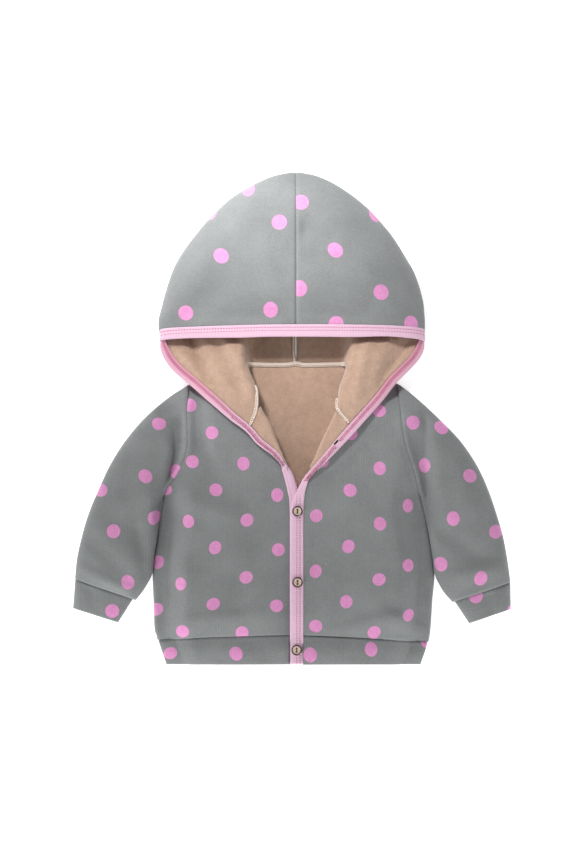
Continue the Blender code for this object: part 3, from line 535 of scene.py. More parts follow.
def creased(grid, table, weight, cap=9.0):
    """The grid with soft ridges and troughs, and a little unevenness, as far as its weight goes."""
    x = grid[..., 0]
    y = grid[..., 1]
    lift = np.zeros(x.shape)
    for x0, y0, x1, y1, height, before, after in table:
        run = math.hypot(x1 - x0, y1 - y0)
        along_x = (x1 - x0) / run
        along_y = (y1 - y0) / run
        along = (x - x0) * along_x + (y - y0) * along_y
        across = (x - x0) * along_y - (y - y0) * along_x
        past = np.maximum(np.maximum(-along, along - run), 0.0)
        width = np.where(across < 0.0, before, after)
        lift += height * np.exp(-(across / width) ** 2 - (past / (0.7 * (before + after))) ** 2)
    uneven = np.array([[noise.noise(Vector((px * 0.021, py * 0.021, 3.0))) * 0.9
                        + noise.noise(Vector((px * 0.06, py * 0.045, 8.0))) * 0.35
                        for px, py in zip(row_x, row_y)] for row_x, row_y in zip(x, y)])
    grid = grid.copy()
    grid[..., 2] += np.clip(lift + uneven, -cap, cap) * weight
    return grid


def away_from(grid, *lines):
    """How far each point lies from the nearest of some lines, seen from above."""
    x = grid[..., 0]
    y = grid[..., 1]
    nearest = np.full(x.shape, 1e3)
    for points in lines:
        for (x0, y0), (x1, y1) in zip(points, points[1:]):
            run_x, run_y = x1 - x0, y1 - y0
            share = ((x - x0) * run_x + (y - y0) * run_y) / max(run_x ** 2 + run_y ** 2, 1e-9)
            share = np.clip(share, 0.0, 1.0)
            nearest = np.minimum(nearest, np.hypot(x - x0 - share * run_x, y - y0 - share * run_y))
    return nearest


def rolled(grid, near, seam=SEAM):
    """The grid rolled down into its seams, from how far each point lies from them."""
    depth, reach = seam
    inside = np.clip(1.0 - near / reach, 0.0, 1.0)
    grid = grid.copy()
    grid[..., 2] -= depth * (1.0 - np.sqrt(1.0 - inside ** 2))
    return grid


def soft(distance, run):
    """0 at a seam to 1 a run away from it."""
    share = np.clip(distance / run, 0.0, 1.0)
    return share * share * (3.0 - 2.0 * share)


def settled(grid, before, upper, least=4.6):
    """Creased cloth kept clear of what lies under it and of the floor."""
    low = np.where(upper, np.minimum(before[..., 2], least), FLOOR_CLEAR)
    grid[..., 2] = np.maximum(np.maximum(grid[..., 2], low), FLOOR_CLEAR)
    return grid


def dressed(name, grid, rises, seams, run, weight=1.0, cap=9.0, least=4.6):
    """A flattened ring whose upper layer is rolled into its seams and creased."""
    upper = rises > 0.0
    near = away_from(grid, *seams)
    grid = np.where(upper[..., None], rolled(grid, near), grid)
    weight = weight * soft(near, run) * np.clip(rises, 0.0, 1.0) ** 1.3
    return settled(creased(grid, CREASES[name], weight, cap), grid, upper, least), upper


def shares(count, edge=0.0, both=False):
    """Shares from 0 to 1, closer together near a sewn start, and near the end if both."""
    near = [value * edge for value in (0.0, 0.0012, 0.0045, 0.009, 0.015, 0.023)] if edge else [0.0]
    far = [1.0 - value for value in reversed(near)] if both else [1.0]
    inner = [mix(near[-1], far[0], step / count) for step in range(1, count)]
    return near + inner + far


def steps(count):
    """Even shares from just above 0 to 1."""
    return [step / count for step in range(1, count + 1)]


def unrolled(grid, start, straight=False):
    """Flat places of a grid's points, row by row outwards from a start column."""
    rows, columns = grid.shape[:2]
    axis = grid[rows // 2:, :, :2].mean((0, 1)) - grid[:rows // 2, :, :2].mean((0, 1))
    axis /= np.linalg.norm(axis)
    flat = np.zeros((rows, columns, 2))
    flat[:, start] = grid[:, start, :2]
    for row in range(rows):
        for step in (1, -1):
            onward = None
            column = start + step
            while 0 <= column < columns:
                move = grid[row, column] - grid[row, column - step]
                length = math.hypot(move[0], move[1], SLOPE_SHARE * move[2])
                level = move[:2]
                if onward is None:
                    onward = level / max(float(np.linalg.norm(level)), 1e-6)
                    if straight:
                        onward = np.array((math.copysign(1.0, onward[0]), 0.0))
                    heading = onward
                if float(level @ onward) < 0.0:     # under the fold, the cloth opens out the other way
                    level = 2.0 * float(level @ axis) * axis - level
                reach = float(np.linalg.norm(level))
                if not straight and reach > 0.35 * length and float(level @ onward) > 0.0:
                    heading = level / reach
                flat[row, column] = flat[row, column - step] + heading * length
                column += step
    return flat


def dot_distance(grid, flat, shown, node):
    """Distance of each point from the nearest printed dot's centre, on the flat cloth."""
    seen = shown & (grid[..., 2] > 1.6)
    world = grid[seen][:, :2]
    level = flat[seen]
    charted = []
    for spot in DOTS.get(node, ()):
        near = int(np.hypot(*(world - spot).T).argmin())
        charted.append(level[near] + spot - world[near])
    centres = list(charted)
    points = flat.reshape(-1, 2)
    hidden = ~shown.reshape(-1)
    low = points.min(0) - 20.0
    high = points.max(0) + 20.0
    first, second = (np.array(step) for step in REPEAT)
    for a in range(-30, 31):
        for b in range(-30, 31):
            spot = first * a + second * b + REPEAT_START
            if (spot < low).any() or (spot > high).any():
                continue
            if charted and min(np.hypot(*(spot - other)) for other in charted) < DOT_SPREAD:
                continue
            if hidden[int(((points - spot) ** 2).sum(1).argmin())]:
                centres.append(spot)
    nearest = np.full(len(points), 60.0)
    for number, centre in enumerate(centres):     # each dot a little out of round, in its own direction
        turn = number * 2.4
        squash = 1.0 + 0.07 * math.sin(number * 5.1)
        away = points - centre
        one_way = away[:, 0] * math.cos(turn) + away[:, 1] * math.sin(turn)
        other_way = away[:, 1] * math.cos(turn) - away[:, 0] * math.sin(turn)
        nearest = np.minimum(nearest, np.hypot(one_way * squash, other_way / squash))
    return nearest.reshape(flat.shape[:2]) / DOT_STRETCH.get(node, 1.0)


def grid_mesh(rows, columns):
    """A bmesh of rows by columns of faces, its map of the cloth, and each vertex's row and column."""
    mesh = bmesh.new()
    bmesh.ops.create_grid(mesh, x_segments=columns, y_segments=rows, size=0.5)
    places = {vert: (round((vert.co.y + 0.5) * rows), round((vert.co.x + 0.5) * columns))
              for vert in mesh.verts}
    return mesh, mesh.loops.layers.uv.new("Cloth"), places


def add_piece(name, mesh, finishes):
    """A smooth object at the origin from a bmesh, with its finishes."""
    for face in mesh.faces:
        face.smooth = True
    data = bpy.data.meshes.new(name)
    mesh.to_mesh(data)
    mesh.free()
    made = bpy.data.objects.new(name, data)
    for finish in finishes:
        data.materials.append(finish_named(finish))
    bpy.context.scene.collection.objects.link(made)
    return made


def sew_grid(name, grid, flat, dots, wall, keep, turned):
    """A wall of cloth from a grid of points in millimetres, with its flat places as UVs."""
    rows, columns = grid.shape[:2]
    mesh, cloth_map, places = grid_mesh(rows - 1, columns - 1)
    cut = [face for face in mesh.faces if not keep(min(places[vert][1] for vert in face.verts),
                                                   min(places[vert][0] for vert in face.verts))]
    bmesh.ops.delete(mesh, geom=cut, context="FACES")
    dot_layer = mesh.loops.layers.float.new("dot")
    for face in mesh.faces:
        for loop in face.loops:
            loop[cloth_map].uv = flat[places[loop.vert]] * MM
            loop[dot_layer] = dots[places[loop.vert]]
    for vert in mesh.verts:
        vert.co = Vector(grid[places[vert]]) * MM
    bmesh.ops.remove_doubles(mesh, verts=mesh.verts, dist=0.00003)
    if turned:
        bmesh.ops.reverse_faces(mesh, faces=mesh.faces)
    made = add_piece(name, mesh, ("printed_jersey", "brushed_lining"))
    thick = made.modifiers.new("wall", "SOLIDIFY")
    thick.thickness = wall * MM
    thick.offset = 0.0
    thick.use_even_offset = False
    thick.use_quality_normals = True
    thick.material_offset = 1
    return made


def whole(_column, _row):
    """Every face of the grid is cloth."""
    return True


def cloth_piece(node, grid, shown, turned, held="laid", rests_on=(), keep=whole, wall=WALL, start=None,
                straight=False):
    """A finished piece of dotted jersey from its grid."""
    rows, columns = grid.shape[:2]
    if start is None:
        start = columns // 4
    flat = unrolled(grid, start, straight)
    if straight:     # a band that opens at the front: each half from the middle of its own side
        half = columns // 2
        flat[:, half:] = unrolled(grid, columns - 1 - start, straight)[:, half:]
    name = CLOTH_NAMES.get(node, node + "_cloth")
    made = sew_grid(name, grid, flat, dot_distance(grid, flat, shown, node), wall, keep, turned)
    one_way = grid[1:, 1:] - grid[:-1, :-1]
    other_way = grid[:-1, 1:] - grid[1:, :-1]
    faces = np.linalg.norm(np.cross(one_way, other_way), axis=2) / 2.0
    used = [[keep(column, row) for column in range(columns - 1)] for row in range(rows - 1)]
    area = float((faces * used).sum()) * MM * MM
    span = np.ptp(flat.reshape(-1, 2), axis=0) * MM
    span = span * max(1.0, math.sqrt(area / float(span[0] * span[1])))
    span = [math.ceil(value * 1000.0) / 1000.0 for value in span]
    area = max(area, 0.3001 * span[0] * span[1])
    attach(made, "root")
    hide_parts(node)
    list(rests_on)


# Pieces of cloth: each gives its grid, and the part of it whose dots are charted


def back_grid():
    """The back panel, flat on the surface, printed side down."""
    bottom = Line([(LEFT_OUTLINE(HEM_SEAM) + BACK_INSET, HEM_SEAM), (CENTRE, HEM_SEAM),
                   (RIGHT_OUTLINE(HEM_SEAM) - BACK_INSET, HEM_SEAM)])
    top = Line(SHOULDER)
    left, right = (Line([(x - half.side * BACK_INSET, y)
                         for x, y in side_points(half, HEM_SEAM, half.shoulder[1])]) for half in HALVES)
    grid = np.array([[(*patch(bottom.at, top.at, left.at, right.at, across, up), FLOOR_CLEAR)
                      for across in [0.0] + steps(BACK_STEPS[0])] for up in [0.0] + steps(BACK_STEPS[1])])
    return grid, np.zeros(grid.shape[:2], bool)


def lapel_edge(half):
    """The lapel's edge along the binding, from its low end to the neck seam."""
    low = half.lapel[0] - 2.0
    return Line([(x, y) for x, y, layer in sewn_points(half.side, TRIM_GAP)
                 if low <= y <= half.neck_end and layer < 1.3])


def front_grid(half):
    """A front, with its edge above the buttons rolled back as a lapel."""
    side = half.side
    corner_x = half.outline(HEM_SEAM)
    corner = (corner_x, HEM_SEAM_LINE(corner_x))
    tip = half.shoulder
    outer = Line([corner] + side_points(half, corner[1] + 2.0, tip[1]))
    inner = Line(half.opening)
    bottom_x = [mix(corner_x, half.opening[0][0], step / 6.0) for step in range(7)]
    bottom = Line([(x, HEM_SEAM_LINE(x)) for x in bottom_x])
    top_x = [mix(tip[0], half.opening[-1][0], step / 4.0) for step in range(5)]
    top = Line([(x, SHOULDER_LINE(x)) for x in top_x])
    start, end = (inner.share(1, y) for y in half.lapel)
    edge = lapel_edge(half)
    below, beside, above = FRONT_ROWS
    wide, roll, flap = FRONT_COLUMNS
    ups = [share * start for share in shares(below, 1.1)]
    first = len(ups) - 1
    last = first + beside
    ups += [mix(start, end, share) for share in steps(beside)]
    ups += [mix(end, 1.0, share) for share in steps(above)]
    across = [("main", share) for share in shares(wide, 1.0, both=True)]
    main = len(across)
    across += [("roll", share) for share in steps(roll)]
    across += [("flap", share) for share in steps(flap)]
    grid = np.zeros((len(ups), len(across), 3))
    for row, up in enumerate(ups):
        fold = inner.at(up)
        sewn = edge.at(min(max((row - first) / beside, 0.0), 1.0))
        for column, (part, share) in enumerate(across):
            if part == "main":
                point = patch(bottom.at, top.at, outer.at, inner.at, share, up)
                height = front_height(point.x, point.y, side)
            elif part == "roll":
                turn = math.pi * share
                point = fold - (sewn - fold).normalized() * (ROLL * math.sin(turn))
                height = mix(front_height(fold.x, fold.y, side), wing_height(fold.x),
                             0.5 - 0.5 * math.cos(turn))
            else:
                point = mix(fold, sewn, share)
                height = wing_height(point.x)
            grid[row, column] = (point.x, point.y, height)
    shown = np.zeros(grid.shape[:2], bool)
    shown[:, :main] = True
    near = away_from(grid, bottom.points(12), side_points(half, UNDERARM, tip[1]))
    near_flank = away_from(grid, side_points(half, corner[1], UNDERARM))
    grid = rolled(rolled(grid, near), near_flank, SIDE_SEAM)
    weight = soft(near, 9.0) * soft(near_flank, 12.0) * soft(away_from(grid, half.opening), 14.0) * shown
    grid = settled(creased(grid, CREASES["front_" + half.hand], weight), grid, shown)

    def keep(column, row):
        return column < main - 1 or first < row < last

    return grid, shown, keep


def hood_grid(half):
    """Half the hood: top layer, fold at the silhouette, and lower layer with its turned-back side."""
    side = half.side
    outline = half.hood
    seam = CENTRE + side * 0.2
    sewn = sewn_points(side, TRIM_GAP)
    brow = Curve(sorted((x, y) for x, y, layer in sewn if layer > 1.86))
    low_end = lapel_edge(half).at(1.0)
    fold_line = Line(half.opening)
    fold_end = fold_line.at(fold_line.share(1, half.lapel[1]))
    along = (fold_end - low_end).normalized()
    aside = Vector((along.y, -along.x)) * (-TRIM_GAP if along.y * side < 0.0 else TRIM_GAP)
    start = low_end + aside
    neckline = Line([tuple(start), tuple(mix(low_end, fold_end, 0.5) + aside), tuple(fold_end + aside)]
                    + half.neck)
    wide = abs(outline(96.0) - seam) - WALL / 2.0

    def section(turn, share):
        """A point of the ring: turn 0 at the seam on top, 1 at the fold, 2 at the seam below."""
        top = turn <= 1.0
        if top:
            span, rise = fold_section(math.pi / 2.0 * (1.0 - turn), 2.2)
        else:
            span, rise = fold_section(-math.pi / 2.0 * (turn - 1.0), 3.4)
        span = abs(span)
        mouth = brow(seam + side * wide * span) - FOLD_DIP * ease((span - 0.985) / 0.015)
        if not top:
            mouth = mix(mouth, NECK_BACK + 36.0, ease(-rise))
        y = mix(HOOD_TIP - 0.2, mouth, share ** 1.25)
        reach = abs(outline(y) - seam) - WALL / 2.0
        x = seam + side * (max(reach, 0.0) * span + (SEAM_OPEN * (1.0 - span) if top else 0.0))
        fold = DOME_FOLD(y)
        level = DOME(y) if top else hood_floor(x, y)
        return Vector((x, y, fold + (level - fold) * abs(rise)))

    corner = section(1.0, 1.0)
    cheek = [(x, y) for x, y, layer in reversed(sewn) if layer < 1.4 and half.neck_end < y < corner.y - 2.0]
    mouth_edge = Line([tuple(corner.xy)] + cheek + [tuple(start)])

    def upper(place):
        return section(1.0 + place, 1.0).xy

    def centre(place):
        return mix(upper(1.0), neckline.at(1.0), place)

    turns = shares(HOOD_COLUMNS[0], 1.0)
    top_count = len(turns)
    turns += [1.0 + share for share in steps(HOOD_COLUMNS[1])]
    rows = [("dome", share) for share in shares(HOOD_ROWS[0])[:-1] + [0.992, 0.997, 1.0]]
    last_dome = len(rows) - 1
    rows += [("neck", share) for share in steps(HOOD_ROWS[1])]
    grid = np.zeros((len(rows), len(turns), 3))
    for row, (part, share) in enumerate(rows):
        for column, turn in enumerate(turns):
            if row == 0:
                grid[row, column] = (seam, HOOD_TIP - 1.2, 5.8)
            elif part == "dome":
                grid[row, column] = section(turn, share)
            elif turn < 1.0:
                grid[row, column] = grid[last_dome, column]
            else:
                inward = turn - 1.0
                point = patch(upper, neckline.at, mouth_edge.at, centre, inward, share)
                lift = (1.0 - ease(share / 0.2)) * (1.0 - ease(inward / 0.12))
                grid[row, column] = (point.x, point.y, mix(hood_floor(point.x, point.y), corner.z, lift))
    shown = np.zeros(grid.shape[:2], bool)
    shown[:last_dome + 1, :top_count] = True
    near = away_from(grid, [(seam, 60.0), (seam, HOOD_TIP)])
    grid = np.where(shown[..., None], rolled(grid, near, HOOD_SEAM), grid)
    near_brow = away_from(grid, list(zip(brow.places[::8], brow.values[::8])))
    reach = np.maximum(1.0, np.abs(np.vectorize(outline)(grid[..., 1]) - seam))
    reach_in = np.abs(grid[..., 0] - seam) / reach
    weight = soft(near, 10.0) * soft(near_brow, 12.0) * soft(1.0 - reach_in, 0.25) * shown
    grid = settled(creased(grid, CREASES["hood_" + half.hand], weight), grid, shown, least=6.0)
    raised = np.clip((grid[..., 2] - 4.0) / 8.0, 0.0, 1.0)
    weight = soft(away_from(grid, mouth_edge.points(30)), 9.0)
    weight *= soft(away_from(grid, neckline.points(40)), 8.0)
    grid = creased(grid, WING_CREASES, weight * raised * ~shown * (grid[..., 1] < 100.0), cap=6.5)
    grid[..., 2] = np.maximum(grid[..., 2], FLOOR_CLEAR)

    def keep(column, row):
        return column >= top_count - 1 or row < last_dome

    return grid, shown, keep


def flat_ring(ups, arounds, place):
    """A grid round a flattened ring, and how far up its rounded section each point lies, -1 to 1."""
    points = [[place(along, around) for around in arounds] for along in ups]
    grid = np.array(points)
    return grid[..., :3], grid[..., 3]


def sleeve_grid(half):
    """A sleeve as a flattened ring, from the armhole to the cuff."""
    flank = list(reversed(side_points(half, SIDE_END, UNDERARM, WALL / 2.0 + SIDE_GAP)))
    seam = list(reversed(side_points(half, UNDERARM, half.sleeve_outer[0][1], ARM_GAP)))
    head = Line([half.sleeve_outer[0]] + seam[1:-1] + [flank[0]])
    outer = Line(half.sleeve_outer)
    inner = Line(flank + half.sleeve_inner)

    def place(along, around):
        outer_at = outer.at(along)
        inner_at = inner.at(along)
        span, rise = fold_section(2.0 * math.pi * around, 2.4 if around < 0.5 else 3.6)
        share = (1.0 - span) / 2.0
        start = head.at(share)
        moved = mix(inner_at - inner.at(0.0), outer_at - outer.at(0.0), (1.0 - share) ** HEAD_FAN)
        point = mix(start + moved, mix(outer_at, inner_at, share), ease(along / HEAD_RUN))
        if rise <= 0.0:
            height = FOLD + (FOLD - FLOOR_CLEAR) * rise
        else:
            own = FOLD + (SLEEVE_TOP(along) - FOLD) * rise
            height = mix(max(BODY_EDGE(start.y), FOLD + rise), own, ease(along / HEAD_BLEND))
        return (point.x, point.y, height, rise)

    rows, columns = SLEEVE_STEPS
    grid, rises = flat_ring(shares(rows, 0.75, both=True), [0.0] + steps(columns), place)
    seams = (head.points(30), [tuple(outer.at(1.0)), tuple(inner.at(1.0))])
    return dressed("sleeve_" + half.hand, grid, rises, seams, 7.0, cap=12.0)


def cuff_grid(half):
    """A cuff, folded double, as a short flattened ring."""
    seam_outer, seam_inner, end_outer, end_inner = (Vector(corner) for corner in half.cuff)

    def place(along, around):
        span, rise = fold_section(2.0 * math.pi * around, 2.6 if around < 0.5 else 3.6)
        share = (1.0 - span) / 2.0
        point = mix(mix(seam_outer, seam_inner, share), mix(end_outer, end_inner, share), along)
        if rise <= 0.0:
            height = FOLD + (FOLD - BAND_CLEAR) * rise
        else:
            height = FOLD + (CUFF_FULL * (1.0 + 0.05 * math.sin(math.pi * along)) - FOLD) * rise
        return (point.x, point.y, height, rise)

    rows, columns = CUFF_STEPS
    grid, rises = flat_ring(shares(rows, 6.0), [0.0] + steps(columns), place)
    grid, upper = dressed("cuff_" + half.hand, grid, rises, [[tuple(seam_outer), tuple(seam_inner)]], 6.0,
                          least=5.0)
    grid[..., 2] = np.maximum(grid[..., 2], BAND_CLEAR)
    return grid, upper


def hem_grid():
    """The hem band, folded double, round the back from one front edge to the other."""
    rows, level, turning = HEM_STEPS
    turns = [math.acos((0.955 * share) ** 2.5) for share in [0.0] + steps(level)]
    turns += [turns[-1] * (1.0 - share) for share in steps(turning)]
    arounds = [0.25 - turn / (2.0 * math.pi) for turn in turns]
    arounds += [0.5 - value for value in reversed(arounds[:-1])]
    arounds += [1.0 - value for value in reversed(arounds[:-1])]

    def place(along, around):
        half = HALVES[0] if around < 0.5 else HALVES[1]
        share = around if around < 0.5 else 1.0 - around
        span, rise = fold_section(math.pi / 2.0 - 2.0 * math.pi * share, 5.0)
        span = abs(span)
        seam_y = HEM_SEAM_LINE(mix(CENTRE, half.outline(HEM_SEAM), span)) - HEM_GAP
        seam_y = mix(seam_y, HEM_SEAM - HEM_GAP, ease((0.3 - rise) * 1.5))
        y = mix(HEM_EDGE, seam_y, along)
        start = mix(CENTRE, half.hem_end, ease(rise * 1.2)) if rise > 0.0 else CENTRE
        x = start + (half.outline(y) - half.side * BAND / 2.0 - start) * span
        if rise <= 0.0:
            height = HEM_FOLD + (HEM_FOLD - BAND_CLEAR) * rise
        else:
            height = mix(HEM_FOLD, max(front_height(x, y, half.side), HEM_SIDE), rise)
            height += HEM_PUFF * math.sin(math.pi * min(along * 1.15, 1.0)) * ease(rise * 1.3 - 0.2)
        return (x, y, height, rise)

    grid, rises = flat_ring([1.0 - value for value in reversed(shares(rows, 8.0))], arounds, place)
    seam = [(x, HEM_SEAM_LINE(x) - HEM_GAP) for x in range(-146, 149, 7)]
    grid, upper = dressed("hem_band", grid, rises, [seam], 5.0, soft(np.abs(grid[..., 0] - 5.0), 16.0),
                          least=5.0)
    grid[..., 2] = np.maximum(grid[..., 2], BAND_CLEAR)
    return grid, upper


# Binding, buttons and thread

# Half of the binding's section: 0 where it is measured from the fold, 1 from the sewn edge, across, up
BINDING_HALF = [
    (0.0, 0.0, 0.35), (0.0, 0.12, 1.0), (0.0, 0.55, 1.5), (0.0, 1.5, 1.84), (0.0, 3.2, 1.98),
    (1.0, -5.2, 1.98), (1.0, -3.6, 1.95), (1.0, -2.7, 1.74), (1.0, -1.8, 1.92), (1.0, -0.4, 1.96),
    (1.0, 0.55, 1.84), (1.0, 0.85, 1.6), (1.0, 0.7, 1.38), (1.0, 0.0, 1.32), (1.0, -0.35, 0.6),
]
STRIP_LENGTH = sum((STRIP.at((step + 1) / 400.0).xy - STRIP.at(step / 400.0).xy).length
                   for step in range(400))

BUTTONHOLE = (48.2, -26.9, 48.0)     # x, y and slant in degrees
BUTTONHOLE_SIZE = (7.4, 2.1)

# Stitches: pitch along the seam, and thickness of the thread
HOOD_STITCH = (3.0, 0.5)
SIDE_STITCH = (1.9, 0.5)
PLACKET_STITCH = (2.7, 0.42)
HEM_STITCH = (2.8, 0.24)
# Painted shade along the hood's seam: pitch and thickness of its near-black beads
SEAM_SHADE = (2.4, 0.9)
HOOD_STITCH_INSETS = (2.3, 5.7)     # of the two rows, from the binding's inner edge
PLACKET_ROWS = (5.1, 8.7)           # x of the two rows

# Overlocked edges inside the neck: name, path (x, y) and width
OVERLOCKED = [
    ("back_neck", [(-50.0, 59.4), (-20.0, 58.6), (-4.0, 58.9), (3.0, 60.2), (7.5, 59.8), (12.0, 58.5),
                   (30.0, 58.8), (60.0, 59.6)], 5.0),
    ("centre_back", [(4.6, 60.5), (3.2, 64.0), (2.3, 72.0), (2.2, 100.0), (2.4, 138.0)], 3.8),
    ("neck_right", [(-40.6, 36.0), (-38.9, 28.0), (-38.6, 18.0), (-39.9, 8.0), (-42.6, 0.0),
                    (-46.0, -7.6)], 3.6),
    ("neck_left", [(49.6, 22.0), (48.9, 14.0), (51.4, 7.6), (56.4, 1.4), (62.2, -5.2)], 3.4),
]


def closed(mesh, gap):
    """A tube made of a grid whose first and last columns meet, with its open ends filled."""
    bmesh.ops.remove_doubles(mesh, verts=mesh.verts, dist=gap)
    bmesh.ops.holes_fill(mesh, edges=[edge for edge in mesh.edges if edge.is_boundary], sides=0)
    bmesh.ops.recalc_face_normals(mesh, faces=mesh.faces)
    return mesh


def strip_height(x, y, layer, side):
    """Middle of the binding over what it lies on."""
    if layer <= 1.0:
        return mix(front_height(x, y, side), wing_height(x), layer)
    return mix(wing_height(x), hood_top(x, y), layer - 1.0)


def strip_edges(share):
    """Outer and inner edge of the binding, and its layer, at a share of its length."""
    outer_x, outer_y, inner_x, inner_y, layer = STRIP.at(share)
    side = -1.0 if share < 0.5 else 1.0
    outer = Vector((outer_x, outer_y, strip_height(outer_x, outer_y, layer, side)))
    inner = Vector((inner_x, inner_y, strip_height(inner_x, inner_y, layer, side)))
    return outer, inner, layer


def strip_frame(share):
    """Outer edge, step across, upward direction and layer of the binding at a share of its length."""
    outer, inner, layer = strip_edges(share)
    before = sum(strip_edges(max(share - 0.002, 0.0))[:2], Vector((0.0, 0.0, 0.0)))
    after = sum(strip_edges(min(share + 0.002, 1.0))[:2], Vector((0.0, 0.0, 0.0)))
    width = inner - outer
    normal = width.cross(after - before).normalized()
    return outer, width, (-normal if normal.z < 0.0 else normal), layer


def strip_profile(width, sewn_inner):
    """The binding's section as (across, up) pairs, its slot on the inner or the outer edge."""
    upper = [(across + (width if far else 0.0), up) for far, across, up in BINDING_HALF]
    ring = upper + [(across, -up) for across, up in reversed(upper)]
    if sewn_inner:
        return ring
    flipped = [(width - across, up) for across, up in ring]
    turned = flipped[len(upper):] + flipped[:len(upper)]
    return [(across, -up) for across, up in turned]


def binding_mesh():
    """The whole strip of binding, from the under front round the hood to the lapped front."""
    rows = BINDING_ROWS
    around = 2 * len(BINDING_HALF)
    places = []
    worn = []
    for row in range(rows + 1):
        share = row / rows
        outer, width, normal, layer = strip_frame(share)
        long = width.length
        across = width / long
        pucker = 0.12 * noise.noise(Vector((share * 260.0, 0.0, 0.0)))
        inner_side = ease((layer - 0.3) / 0.4)
        # Painted shade: the binding is stored darker where it turns back over the lapels and the hood's
        # sides, more so towards the hood and towards its sewn edge; it also stands for the ribbing's darker
        # reverse.
        turned = ease((layer - 0.55) / 0.35) * (1.0 - ease((layer - 1.25) / 0.5))
        turned *= mix(0.25, 0.95, ease((outer.y + 20.0) / 55.0))
        level = []
        shades = []
        for (a0, u0), (a1, u1) in zip(strip_profile(long, False), strip_profile(long, True)):
            aside = mix(a0, a1, inner_side)
            up = mix(u0, u1, inner_side) * (1.0 + pucker)
            level.append(outer + across * aside + normal * up)
            shades.append(turned * mix(0.5, 1.0, ease(aside / long * 1.6 - 0.3)))
        places.append(level)
        worn.append(shades)
    mesh, cloth_map, spots = grid_mesh(rows, around)
    turned_shade_layer = mesh.loops.layers.float.new("worn")
    for face in mesh.faces:
        for loop in face.loops:
            row, column = spots[loop.vert]
            loop[cloth_map].uv = (row / rows * STRIP.length * MM, column / around * 0.024)
            loop[turned_shade_layer] = worn[row][column % around]
    for vert, (row, column) in spots.items():
        vert.co = places[row][column % around] * MM
    return closed(mesh, 0.00002)


def thread_bit(mesh, start, end, thick):
    """One stitch: a stretched bead of thread from one place to another (mm)."""
    along = end - start
    turn = along.to_track_quat("X", "Z").to_matrix().to_4x4()
    size = Matrix.Diagonal((along.length / 2.0 * MM, thick * MM, thick * 0.8 * MM, 1.0))
    place = Matrix.Translation((start + end) / 2.0 * MM) @ turn @ size
    bmesh.ops.create_uvsphere(mesh, u_segments=7, v_segments=5, radius=1.0,
                              matrix=place @ Matrix.Rotation(math.pi / 2.0, 4, "Y"))


def strip_run(low, high, side, step):
    """Shares of the binding's length at even steps, between two of its layers' limits, on one side."""
    count = int(STRIP_LENGTH / step)
    evenly = [number / count for number in range(count)]
    return [share for share in evenly
            if (share < 0.5) == (side < 0.0) and low <= STRIP.at(share)[4] <= high]


def hood_stitches(mesh):
    """Two rows along the hood's edge."""
    pitch, thick = HOOD_STITCH
    for inset in HOOD_STITCH_INSETS:
        run = [share for side in (-1.0, 1.0) for share in strip_run(1.8, 2.0, side, pitch)]
        for number, share in enumerate(run):
            outer, width, normal, _ = strip_frame(share)
            far, far_width, far_normal, _ = strip_frame(share + 0.6 * pitch / STRIP_LENGTH)
            wander = 0.12 * noise.noise(Vector((number * 0.7, inset, 0.0)))
            at = 1.0 - (inset + wander) / width.length
            start = outer + width * at + normal * TAPE_TOP
            thread_bit(mesh, start, far + far_width * at + far_normal * TAPE_TOP, thick)


def side_stitches(mesh):
    """Slanted covering stitches on the turned-back sides, where the binding meets the lining."""
    pitch, thick = SIDE_STITCH
    for side in (-1.0, 1.0):
        for share in strip_run(0.55, 1.7, side, pitch):
            outer, width, normal, _ = strip_frame(share)
            far, far_width, far_normal, _ = strip_frame(share - side * 1.5 / STRIP_LENGTH)
            start = outer + width * (1.0 - 0.9 / width.length) + normal * TAPE_TOP
            end = far + far_width * (1.0 - 5.4 / far_width.length) + far_normal * TAPE_TOP
            if math.dist(((start + end) / 2.0)[:2], BUTTONHOLE[:2]) > 0.62 * BUTTONHOLE_SIZE[0]:
                thread_bit(mesh, start, end, thick)


def placket_stitches(mesh):
    """Two rows down the lapped front."""
    pitch, thick = PLACKET_STITCH
    y = -66.0
    while y > -269.0:
        for x in PLACKET_ROWS:
            level = front_height(x, y, 1.0) + TAPE_TOP
            thread_bit(mesh, Vector((x, y, level)), Vector((x + 0.1, y - 1.7, level)), thick)
        y -= pitch


def button_level(x, y, layer):
    """Height of the underside of a button."""
    if layer == "lapel":
        return front_height(x, y, -1.0) + WALL / 2.0 + 0.4
    return front_height(x, y, 1.0) + TAPE / 2.0 + 0.3


def button_mesh(x, y, bottom):
    """A two-hole button with a rounded rim, its face and rim as separate finishes."""
    mesh = bmesh.new()
    radius = BUTTON_RADIUS
    depth = BUTTON_DEPTH
    rim = [(0.0, 0.0), (radius - 1.0, 0.0), (radius - 0.35, 0.25), (radius, 0.9), (radius, depth - 0.8),
           (radius - 0.2, depth - 0.3), (radius - 0.6, depth), (radius - 1.05, depth - 0.12),
           (radius - 1.35, depth - 0.5), (radius - 1.5, depth - 0.62)]
    face = [rim[-1], (radius - 2.4, depth - 0.72), (BUTTON_HOLE + 1.7, depth - BUTTON_DISH),
            (0.0, depth - 0.8)]
    for profile in (rim, face):
        verts = [mesh.verts.new((across * MM, 0.0, up * MM)) for across, up in profile]
        edges = [mesh.edges.new(pair) for pair in zip(verts, verts[1:])]
        bmesh.ops.spin(mesh, geom=verts + edges, axis=(0.0, 0.0, 1.0), cent=(0.0, 0.0, 0.0),
                       steps=48, angle=2.0 * math.pi, use_merge=True)
    for new in mesh.faces:
        reach = max(math.hypot(vert.co.x, vert.co.y) for vert in new.verts)
        if reach < (radius - 1.49) * MM and min(vert.co.z for vert in new.verts) > 0.5 * depth * MM:
            new.material_index = 1
    bmesh.ops.remove_doubles(mesh, verts=mesh.verts, dist=0.00001)
    bmesh.ops.recalc_face_normals(mesh, faces=mesh.faces)
    bmesh.ops.translate(mesh, verts=mesh.verts, vec=Vector((x, y, bottom)) * MM)
    return mesh


